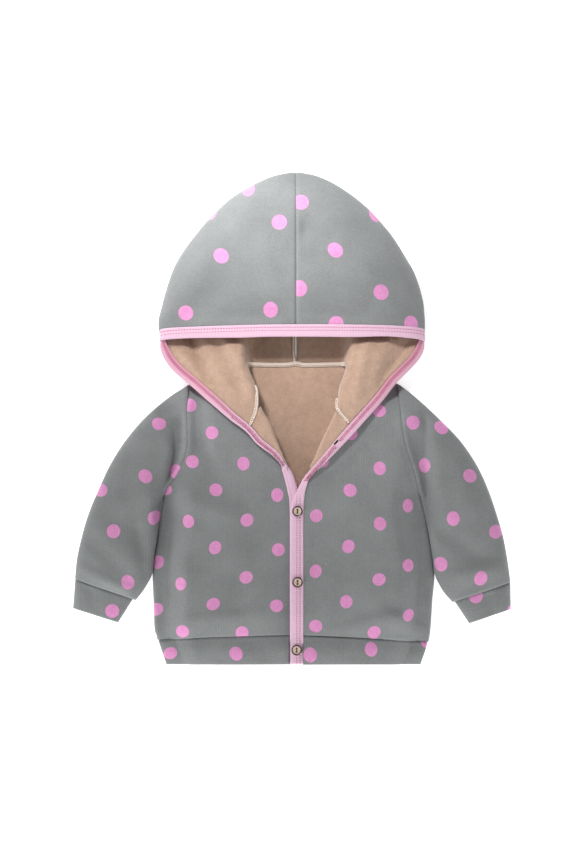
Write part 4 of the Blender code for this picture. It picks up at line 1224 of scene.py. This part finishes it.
def button_hole_shade(mesh, x, y, bottom):
    """The two holes' painted shade, as shallow dark discs on the button's face."""
    for end in (-1.0, 1.0):
        spot = Vector((x, y + end * BUTTON_HOLE_SPACING / 2.0, bottom + BUTTON_DEPTH - BUTTON_DISH + 0.03))
        bmesh.ops.create_cone(mesh, cap_ends=True, segments=20, radius1=1.1 * MM, radius2=1.02 * MM,
                              depth=0.1 * MM, matrix=Matrix.Translation(spot * MM))


def button_thread(mesh, x, y, bottom):
    """The thread in the holes and between them."""
    top = bottom + BUTTON_DEPTH - BUTTON_DISH
    apart = BUTTON_HOLE_SPACING / 2.0
    for end in (-1.0, 1.0):
        spot = Vector((x, y + end * apart, top + 0.03))
        thread_bit(mesh, spot + Vector((0.0, -0.7, 0.12)), spot + Vector((0.0, 0.6, 0.18)), 0.34)
    for aside in (-0.35, 0.1, 0.45):
        low = Vector((x + aside, y - apart + 0.2, top + 0.26))
        thread_bit(mesh, low, Vector((x + aside, y + apart - 0.2, top + 0.26)), 0.25)


def overlocked_frame(path, share):
    """Place, sideways direction and height of the cloth under an overlocked edge."""
    spot = path.at(share)
    ahead = path.at(min(share + 0.01, 1.0)) - path.at(max(share - 0.01, 0.0))
    aside = Vector((ahead.y, -ahead.x)).normalized()
    level = max(hood_floor(spot.x, spot.y), hood_floor(spot.x + aside.x, spot.y + aside.y))
    return spot, aside, level + WALL / 2.0 + 0.08


def overlocked_mesh(points, width):
    """A narrow overlocked edge lying along a path, as a flattened ring."""
    path = Line(points)
    rows = max(12, int(path.length / 1.4))
    mesh, cloth_map, spots = grid_mesh(rows, OVERLOCKED_AROUND)
    for face in mesh.faces:
        for loop in face.loops:
            row, column = spots[loop.vert]
            loop[cloth_map].uv = (column / OVERLOCKED_AROUND * 0.012, row / rows * path.length * MM)
    for vert, (row, column) in spots.items():
        share = row / rows
        spot, aside, level = overlocked_frame(path, share)
        side, rise = fold_section(2.0 * math.pi * column / OVERLOCKED_AROUND, 2.6)
        wave = 1.0 + 0.06 * math.sin(share * path.length * 2.6)
        end = ease(min(share, 1.0 - share) * path.length / 3.0)
        place = spot + aside * (side * width / 2.0 * wave * mix(0.6, 1.0, end))
        vert.co = Vector((place.x, place.y, level + 0.6 + rise * 0.55)) * MM
    return closed(mesh, 0.00001)


def overlock_threads(mesh, points, width, dark):
    """Slanted loops over an overlocked edge, or the dark thread that runs along it."""
    path = Line(points)
    count = int(path.length / (2.5 if dark else 1.0))
    for number in range(1, count):
        spot, aside, level = overlocked_frame(path, number / count)
        onward = Vector((-aside.y, aside.x))
        high = level + 1.2
        wander = 0.15 * noise.noise(Vector((number * 0.9, width, 1.0)))
        if dark:
            centre = spot + aside * (width * 0.22 + wander)
            start = Vector((*(centre - onward * 0.55), high))
            end = Vector((*(centre + onward * 0.8), high))
        else:
            start = Vector((*(spot - aside * (width / 2.0 - 0.2)), high - 0.15))
            end = Vector((*(spot + aside * (width / 2.0 - 0.3) + onward * (0.9 + wander)), high - 0.1))
        thread_bit(mesh, start, end, 0.45 if dark else 0.26)


def buttonhole_place():
    """The middle of the open buttonhole on the turned-back lapel, and its turn."""
    x, y, slant = BUTTONHOLE
    place = Vector((x, y, wing_height(x) + TAPE / 2.0 + 0.16))
    return place, Matrix.Rotation(math.radians(slant), 4, "Z")


def buttonhole_shade_mesh(mesh):
    """The open buttonhole's painted shade, as a shallow dark dome."""
    place, turn = buttonhole_place()
    long, wide = BUTTONHOLE_SIZE
    size = Matrix.Diagonal((long / 2.0 * MM, wide / 2.0 * MM, 0.22 * MM, 1.0))
    place.z += 0.02
    bmesh.ops.create_uvsphere(mesh, u_segments=20, v_segments=8, radius=1.0,
                              matrix=Matrix.Translation(place * MM) @ turn @ size)


def buttonhole_stitches(mesh):
    """The stitches round the open buttonhole."""
    place, turn = buttonhole_place()
    long, wide = BUTTONHOLE_SIZE
    for number in range(26):
        angle = 2.0 * math.pi * number / 26.0
        ends = []
        for past_end, past_side, lift in ((0.1, 0.1, 0.12), (1.0, 0.9, 0.05)):
            spot = turn.to_3x3() @ Vector((math.cos(angle) * (long / 2.0 + past_end),
                                           math.sin(angle) * (wide / 2.0 + past_side), 0.0))
            ends.append(place + Vector((0.0, 0.0, lift)) + spot)
        thread_bit(mesh, ends[0], ends[1], 0.22)


def hem_stitches(mesh):
    """A row of plain stitches a little above the hem seam."""
    pitch, thick = HEM_STITCH
    for x, end, side in ((-138.0, -9.0, -1.0), (17.0, 141.0, 1.0)):
        while x < end:
            y = HEM_SEAM_LINE(x) + HEM_TOPSTITCH
            level = front_height(x, y, side) + WALL / 2.0 + 0.02
            thread_bit(mesh, Vector((x, y, level)), Vector((x + 1.9, y, level)), thick)
            x += pitch


def hood_seam_thread(mesh):
    """Painted shade along the groove of the hood's seam, as a row of near-black beads at its bottom."""
    pitch, thick = SEAM_SHADE
    y = 92.0
    while y < 265.0:
        start, end = (Vector((CENTRE + 0.1, place, DOME(place) - 1.0)) for place in (y, y + 3.0))
        thread_bit(mesh, start, end, thick)
        y += pitch


# Finishes


class Value:
    """A shader socket that can be written in arithmetic."""

    def __init__(self, net, socket):
        self.net = net
        self.socket = socket

    def _with(self, kind, other, swap=False):
        pair = (other, self) if swap else (self, other)
        return self.net.add("ShaderNodeMath", {"operation": kind}, {0: pair[0], 1: pair[1]})

    def __add__(self, other):
        return self._with("ADD", other)

    def __radd__(self, other):
        return self._with("ADD", other, True)

    def __sub__(self, other):
        return self._with("SUBTRACT", other)

    def __rsub__(self, other):
        return self._with("SUBTRACT", other, True)

    def __mul__(self, other):
        return self._with("MULTIPLY", other)

    def __rmul__(self, other):
        return self._with("MULTIPLY", other, True)

    def between(self, low, high):
        """0 below low to 1 above high, with soft ends."""
        return self.net.add("ShaderNodeMapRange", {"interpolation_type": "SMOOTHSTEP"},
                            {"Value": self, "From Min": low, "From Max": high})


class Net:
    """A material's node tree, built one node at a time."""

    def __init__(self, name, roughness, sheen=0.0, sheen_tint=(1.0, 1.0, 1.0), coat=0.0):
        self.material = bpy.data.materials.new(name)
        self.material.use_nodes = True
        self.tree = self.material.node_tree
        self.shader = self.tree.nodes["Principled BSDF"]
        for entry, value in (("Roughness", roughness), ("Sheen Weight", sheen), ("Sheen Roughness", 0.55),
                             ("Sheen Tint", (*sheen_tint, 1.0)), ("Coat Weight", coat),
                             ("Specular IOR Level", 0.25 if sheen else 0.5)):
            self.shader.inputs[entry].default_value = value

    def add(self, kind, settings=None, inputs=None, output=0):
        """A node with its settings and inputs; gives one of its outputs."""
        node = self.tree.nodes.new(kind)
        for name, value in (settings or {}).items():
            setattr(node, name, value)
        for name, value in (inputs or {}).items():
            self.join(value, node.inputs[name])
        return Value(self, node.outputs[output])

    def join(self, value, socket):
        """A link to a socket, or its fixed value."""
        if isinstance(value, Value):
            self.tree.links.new(value.socket, socket)
        elif isinstance(value, tuple) and len(value) == 3 and socket.type == "RGBA":
            socket.default_value = (*value, 1.0)
        else:
            socket.default_value = value

    def blend(self, share, low, high):
        """A colour between two."""
        return self.add("ShaderNodeMix", {"data_type": "RGBA"}, {0: share, 6: low, 7: high}, 2)

    def cloth_place(self, across=1.0, along=1.0):
        """Places on the flat cloth, scaled."""
        spot = self.add("ShaderNodeUVMap", {"uv_map": "Cloth"})
        scale = (across, along, 1.0)
        return self.add("ShaderNodeVectorMath", {"operation": "MULTIPLY"}, {0: spot, 1: scale})

    def object_place(self):
        """Places in the shared frame, in metres."""
        return self.add("ShaderNodeTexCoord", output=3)

    def stored(self, name):
        """A number stored on the mesh."""
        return self.add("ShaderNodeAttribute", {"attribute_name": name}, output=2)

    def speckle(self, place, scale, detail=2.0, rough=0.5):
        """Soft noise, 0 to 1."""
        return self.add("ShaderNodeTexNoise", {}, {"Vector": place, "Scale": scale, "Detail": detail,
                                                   "Roughness": rough})

    def rows(self, scale, wander, detail_scale):
        """Rows along the cloth, 0 to 1."""
        return self.add("ShaderNodeTexWave", {"wave_type": "BANDS", "bands_direction": "X"},
                        {"Vector": self.cloth_place(), "Scale": scale, "Distortion": wander, "Detail": 1.0,
                         "Detail Scale": detail_scale}, 1)

    def finish(self, colour, height=None, relief=0.0003, strength=0.6):
        """The material, with its colour and the height of its fine relief."""
        self.join(colour, self.shader.inputs["Base Color"])
        if height is not None:
            bump = self.add("ShaderNodeBump", {},
                            {"Strength": strength, "Distance": relief, "Height": height})
            self.join(bump, self.shader.inputs["Normal"])
        return self.material


def tinted(colour, *scales):
    """A colour times one share, or times one for each of its parts."""
    scales = scales if len(scales) == 3 else scales * 3
    return tuple(min(part * scale, 1.0) for part, scale in zip(colour, scales))


def jersey(sizes):
    """Grey melange jersey with printed pink dots."""
    net = Net("printed_jersey", 0.92, sheen=0.25, sheen_tint=(0.9, 0.92, 0.95))
    fibre = net.speckle(net.cloth_place(1.0, 0.45), 1500.0, 3.0, 0.65)
    blotch = net.speckle(net.cloth_place(1.0, 0.7), 260.0, 3.0, 0.6)
    broad = net.speckle(net.object_place(), 26.0, 2.0)
    tone = (fibre - 0.5) * 1.3 + (blotch - 0.5) * 0.3 + (broad - 0.5) * 0.5
    grey = sizes.jersey_grey
    ground = net.blend((tone + 0.5).between(0.0, 1.0), tinted(grey, 0.74), tinted(grey, 1.28))
    ragged = (fibre - 0.5) * 0.7 + (blotch - 0.5) * 0.9
    radius = sizes.dot_size * 500.0
    inside = 1.0 - (net.stored("dot") + ragged).between(radius - 0.45, radius + 0.45)
    pink = sizes.dot_pink
    tone = (fibre - 0.5) * 1.6 + (blotch - 0.5) * 0.7 + 0.5
    dots = net.blend(tone.between(0.0, 1.0), tinted(pink, 0.84, 0.72, 0.82), tinted(pink, 1.12, 1.3, 1.12))
    height = net.rows(110.0, 1.2, 3.0) * 0.35 + fibre * 0.6 + blotch * 0.15
    return net.finish(net.blend(inside, ground, dots), height, relief=0.0004, strength=0.55)


def lining(sizes):
    """Brushed peach lining."""
    net = Net("brushed_lining", 0.95, sheen=0.45, sheen_tint=(1.0, 0.93, 0.86))
    nap = net.speckle(net.object_place(), 520.0, 4.0, 0.62)
    tuft = net.speckle(net.object_place(), 150.0, 3.0, 0.55)
    broad = net.speckle(net.object_place(), 30.0, 2.0)
    tone = (nap - 0.5) * 0.9 + (tuft - 0.5) * 0.7 + (broad - 0.5) * 0.5 + 0.5
    peach = sizes.lining_peach
    colour = net.blend(tone.between(0.0, 1.0), tinted(peach, 0.80), tinted(peach, 1.16))
    return net.finish(colour, nap * 0.6 + tuft, relief=0.0009, strength=0.6)


def tape(sizes):
    """Soft pink binding with fine ribs across it, with painted shade where it turns back: darker, browner
    pink, which also stands for the ribbing's darker reverse.
    """
    net = Net("ribbed_tape", 0.82, sheen=0.35, sheen_tint=(1.0, 0.9, 0.97))
    ribs = net.rows(190.0, 0.8, 4.0)
    fuzz = net.speckle(net.object_place(), 900.0, 3.0, 0.6)
    pink = sizes.binding_pink
    tone = ribs * 0.35 + fuzz * 0.65
    colour = net.blend(tone.between(0.15, 0.85), tinted(pink, 0.92, 0.86, 0.9), tinted(pink, 1.05))
    # Painted shade: darker, browner pink as far as the stored shade goes.
    colour = net.blend(net.stored("worn") * (0.6 + fuzz * 0.6), colour, tinted(pink, 0.84, 0.53, 0.56))
    return net.finish(colour, ribs * 0.6 + fuzz * 0.7, relief=0.0003, strength=0.5)


def floor_white(_sizes):
    """The bright floor."""
    net = Net("floor_white", 0.9)
    net.shader.inputs["Emission Color"].default_value = (1.0, 1.0, 1.0, 1.0)
    net.shader.inputs["Emission Strength"].default_value = 0.65
    return net.finish((0.93, 0.93, 0.93))


def plain(name, colour, roughness, sheen=0.0, coat=0.0, grain=0.0):
    """One colour, with a little grain."""
    net = Net(name, roughness, sheen=sheen, coat=coat)
    if not grain:
        return net.finish(tuple(colour))
    speck = net.speckle(net.object_place(), 800.0, 3.0, 0.6)
    shade = net.blend(speck.between(0.3, 0.7), tinted(colour, 1.0 - grain), tuple(colour))
    return net.finish(shade, speck, relief=0.0002, strength=0.4)


PATTERNED = {"printed_jersey": jersey, "brushed_lining": lining, "ribbed_tape": tape,
             "floor_white": floor_white}
# Finishes of one colour: the colour or the setting that holds it, roughness, sheen, coat and grain
PLAIN = {
    "pink_thread": ("thread_pink", 0.6, 0.2, 0.0, 0.0),
    "cream_thread": ((0.88, 0.78, 0.68), 0.7, 0.2, 0.0, 0.15),
    "overlock_cream": ((0.84, 0.70, 0.60), 0.9, 0.2, 0.0, 0.2),
    "grey_thread": ((0.20, 0.21, 0.21), 0.8, 0.2, 0.0, 0.0),
    # Painted shade: near-black for the open buttonhole and for the groove along the hood's seam.
    "hole_dark": ((0.014, 0.008, 0.008), 0.9, 0.0, 0.0, 0.0),
    "brown_thread": ((0.12, 0.055, 0.04), 0.7, 0.0, 0.0, 0.0),
    "button_face": ("button_beige", 0.35, 0.0, 0.4, 0.08),
    "button_rim": ("button_brown", 0.3, 0.0, 0.5, 0.0),
}


def finish_named(name):
    """A finish by name, made the first time it is asked for."""
    found = bpy.data.materials.get(name)
    if found:
        return found
    sizes = bpy.context.scene.hoodie
    if name in PATTERNED:
        return PATTERNED[name](sizes)
    colour, *numbers = PLAIN[name]
    if isinstance(colour, str):
        colour = getattr(sizes, colour)
    return plain(name, colour, *numbers)


# Settings and operators


def colour_setting(name, description, default):
    """A colour that can be set in the sidebar."""
    return bpy.props.FloatVectorProperty(name=name, description="Colour of " + description, default=default,
                                         subtype="COLOR", min=0.0, max=1.0)


def power_setting(name, description, default):
    """A lamp's power that can be set in the sidebar."""
    return bpy.props.FloatProperty(name=name, description="Power of " + description, default=default,
                                   min=0.0, subtype="POWER", unit="POWER")


class HOODIE_PG_settings(bpy.types.PropertyGroup):
    """Sizes and colours of the hoodie."""

    dot_size: bpy.props.FloatProperty(
        name="Dot size", description="Width of a printed dot", default=0.0152, min=0.004, max=0.03,
        subtype="DISTANCE", unit="LENGTH")
    jersey_grey: colour_setting("Jersey", "the printed jersey's ground", (0.235, 0.243, 0.243))
    dot_pink: colour_setting("Dots", "the printed dots", (0.75, 0.29, 0.58))
    lining_peach: colour_setting("Lining", "the brushed lining", (0.52, 0.35, 0.26))
    binding_pink: colour_setting("Binding", "the binding", (0.80, 0.55, 0.685))
    thread_pink: colour_setting("Thread", "the stitches on the binding", (0.55, 0.14, 0.25))
    button_beige: colour_setting("Button face", "the buttons' faces", (0.74, 0.58, 0.46))
    button_brown: colour_setting("Button rim", "the buttons' rims", (0.05, 0.018, 0.015))


class HOODIE_PG_stage(bpy.types.PropertyGroup):
    """Light and camera."""

    hood_power: power_setting("Hood light", "the spot on the hood", 68.0)
    key_power: power_setting("Key light", "the soft light above the hood, from -X", 3.6)
    low_power: power_setting("Low lights", "the soft lights below the sleeves", 3.4)
    fill_strength: bpy.props.FloatProperty(
        name="Fill", description="Strength of the light from all round", default=0.23, min=0.0)
    lens: bpy.props.FloatProperty(
        name="Lens", description="Focal length of the camera", default=150.0, min=20.0, max=400.0,
        subtype="DISTANCE_CAMERA")
    frame_height: bpy.props.FloatProperty(
        name="Frame height", description="Height of the picture where the hoodie lies", default=0.9504,
        min=0.3, max=3.0, subtype="DISTANCE", unit="LENGTH")


def trim_piece(name, mesh, finishes, node=None):
    """A finished piece that isn't made from a grid of cloth."""
    made = add_piece(name, mesh, finishes)
    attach(made, "root")
    if node:
        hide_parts(node)
    return made


def sewn_piece(name, finish, sew, *values):
    """A piece of trim that a function sews into an empty mesh."""
    mesh = bmesh.new()
    sew(mesh, *values)
    trim_piece(name, mesh, [finish])


class HOODIE_OT_body(bpy.types.Operator):
    """Make the back panel and the two fronts"""

    bl_idname = "hoodie.body"
    bl_label = "Body"

    def execute(self, context):
        grid, shown = back_grid()
        cloth_piece("back_panel", grid, shown, True, start=0)
        for half in HALVES:
            grid, shown, keep = front_grid(half)
            cloth_piece("front_" + half.hand, grid, shown, half.side > 0.0, rests_on=["back_cloth"],
                        keep=keep, start=26)
        return {"FINISHED"}


class HOODIE_OT_hood(bpy.types.Operator):
    """Make the two halves of the hood"""

    bl_idname = "hoodie.hood"
    bl_label = "Hood"

    def execute(self, context):
        for half in HALVES:
            grid, shown, keep = hood_grid(half)
            cloth_piece("hood_" + half.hand, grid, shown, half.side > 0.0, held="folded",
                        rests_on=["front_" + half.hand + "_cloth"], keep=keep, start=0)
        return {"FINISHED"}


class HOODIE_OT_sleeves(bpy.types.Operator):
    """Make the sleeves and their cuffs"""

    bl_idname = "hoodie.sleeves"
    bl_label = "Sleeves and cuffs"

    def execute(self, context):
        for half in HALVES:
            cloth_piece("sleeve_" + half.hand, *sleeve_grid(half), half.side < 0.0)
            cloth_piece("cuff_" + half.hand, *cuff_grid(half), half.side < 0.0, wall=BAND)
        return {"FINISHED"}


class HOODIE_OT_hem(bpy.types.Operator):
    """Make the hem band"""

    bl_idname = "hoodie.hem"
    bl_label = "Hem band"

    def execute(self, context):
        grid, shown = hem_grid()
        cloth_piece("hem_band", grid, shown, True, wall=BAND, start=grid.shape[1] // 8, straight=True)
        return {"FINISHED"}


class HOODIE_OT_binding(bpy.types.Operator):
    """Make the binding and the stitches along it"""

    bl_idname = "hoodie.binding"
    bl_label = "Binding"

    def execute(self, context):
        made = trim_piece("binding_tape", binding_mesh(), ["ribbed_tape"], "binding")
        for name, sew in (("hood_edge_stitches", hood_stitches), ("hood_side_stitches", side_stitches),
                          ("placket_stitches", placket_stitches)):
            sewn_piece(name, "pink_thread", sew)
        return {"FINISHED"}


class HOODIE_OT_seams(bpy.types.Operator):
    """Make the overlocked edges inside the neck, the buttonhole with its painted shade, the thread at the
    hem, and the painted shade along the hood's seam
    """

    bl_idname = "hoodie.seams"
    bl_label = "Seams"

    def execute(self, context):
        for name, points, width in OVERLOCKED:
            trim_piece(name + "_edge", overlocked_mesh(points, width), ["overlock_cream"])
            sewn_piece(name + "_loops", "cream_thread", overlock_threads, points, width, False)
            sewn_piece(name + "_thread", "brown_thread", overlock_threads, points, width, True)
        # Painted shade: a dark dome in the open buttonhole.
        sewn_piece("buttonhole", "hole_dark", buttonhole_shade_mesh)
        sewn_piece("buttonhole_stitches", "cream_thread", buttonhole_stitches)
        sewn_piece("hem_stitches", "grey_thread", hem_stitches)
        # Painted shade: near-black beads along the groove of the hood's seam.
        sewn_piece("hood_seam_thread", "hole_dark", hood_seam_thread)
        return {"FINISHED"}


class HOODIE_OT_buttons(bpy.types.Operator):
    """Make the four buttons"""

    bl_idname = "hoodie.buttons"
    bl_label = "Buttons"

    def execute(self, context):
        for name, x, y, layer in BUTTONS:
            place = (x, y, button_level(x, y, layer))
            trim_piece(name + "_disc", button_mesh(*place), ["button_rim", "button_face"], name)
            # Painted shade: dark discs for the holes, in the brown thread's finish.
            sewn_piece(name + "_holes", "brown_thread", button_hole_shade, *place)
            sewn_piece(name + "_thread", "brown_thread", button_thread, *place)
        return {"FINISHED"}


# Lamps: name, the setting that holds its power and its share, cone in degrees or 0, place, aim (m)
LAMPS = [
    ("hood_light", "hood_power", 1.0, 25.0, (-0.35, 0.75, 0.90), (-0.015, 0.20, 0.03)),
    ("key", "key_power", 1.0, 0.0, (-0.42, 0.80, 0.30), (-0.03, 0.16, 0.0)),
    ("low_left", "low_power", 1.0, 0.0, (-0.46, -0.56, 0.25), (-0.08, -0.14, 0.0)),
    ("low_right", "low_power", 0.75, 0.0, (0.46, -0.56, 0.25), (0.08, -0.14, 0.0)),
]


def add_lamp(scene, name, power, cone, place, aim):
    """A spot with a cone, or a soft round lamp, aimed at a place."""
    light = bpy.data.lights.new(name, "SPOT" if cone else "AREA")
    light.energy = power
    if cone:
        light.spot_size = math.radians(cone)
        light.spot_blend = 0.75
        light.shadow_soft_size = 0.15
    else:
        light.shape = "DISK"
        light.size = 0.5
    lamp = bpy.data.objects.new(name, light)
    lamp.location = place
    lamp.rotation_euler = (Vector(aim) - Vector(place)).to_track_quat("-Z", "Y").to_euler()
    scene.collection.objects.link(lamp)


class HOODIE_OT_stage(bpy.types.Operator):
    """Set the floor, the light and the camera"""

    bl_idname = "hoodie.stage"
    bl_label = "Stage"

    def execute(self, context):
        scene = context.scene
        stage = scene.hoodie_stage
        floor = bmesh.new()
        bmesh.ops.create_grid(floor, x_segments=1, y_segments=1, size=4.0)
        bmesh.ops.translate(floor, verts=floor.verts, vec=(0.0, 0.0, -0.0004))
        add_piece("floor", floor, ["floor_white"])
        for name, setting, share, cone, place, aim in LAMPS:
            add_lamp(scene, name, getattr(stage, setting) * share, cone, place, aim)
        world = bpy.data.worlds.new("soft")
        world.use_nodes = True
        world.node_tree.nodes["Background"].inputs["Color"].default_value = (0.97, 0.985, 1.0, 1.0)
        world.node_tree.nodes["Background"].inputs["Strength"].default_value = stage.fill_strength
        scene.world = world
        scene.view_settings.view_transform = "Standard"
        eye = bpy.data.cameras.new("camera")
        eye.type = "PERSP"
        eye.lens = stage.lens
        eye.sensor_width = 36.0
        eye.clip_end = 30.0
        camera = bpy.data.objects.new("camera", eye)
        camera.location = (-0.0044, -0.0154, 0.015 + stage.frame_height * eye.lens / eye.sensor_width)
        scene.collection.objects.link(camera)
        scene.camera = camera
        return {"FINISHED"}


class HOODIE_PT_panel(bpy.types.Panel):
    """Hoodie tools"""

    bl_idname = "HOODIE_PT_panel"
    bl_label = "Button-up hoodie"
    bl_space_type = "VIEW_3D"
    bl_region_type = "UI"
    bl_category = "Hoodie"

    def draw(self, context):
        layout = self.layout
        for group in (context.scene.hoodie, context.scene.hoodie_stage):
            for name in group.__annotations__:
                layout.prop(group, name)
        for operator in STEPS:
            layout.operator(operator.bl_idname)


STEPS = (HOODIE_OT_body, HOODIE_OT_hood, HOODIE_OT_sleeves, HOODIE_OT_hem, HOODIE_OT_binding,
         HOODIE_OT_seams, HOODIE_OT_buttons, HOODIE_OT_stage)
CLASSES = (HOODIE_PG_settings, HOODIE_PG_stage) + STEPS + (HOODIE_PT_panel,)


def register():
    for kind in CLASSES:
        bpy.utils.register_class(kind)
    bpy.types.Scene.hoodie = bpy.props.PointerProperty(type=HOODIE_PG_settings)
    bpy.types.Scene.hoodie_stage = bpy.props.PointerProperty(type=HOODIE_PG_stage)


def unregister():
    del bpy.types.Scene.hoodie_stage
    del bpy.types.Scene.hoodie
    for kind in reversed(CLASSES):
        bpy.utils.unregister_class(kind)


def main():
    register()
    for step in STEPS:
        group, name = step.bl_idname.split(".")
        getattr(getattr(bpy.ops, group), name)()
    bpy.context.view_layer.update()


if __name__ == "__main__":
    main()
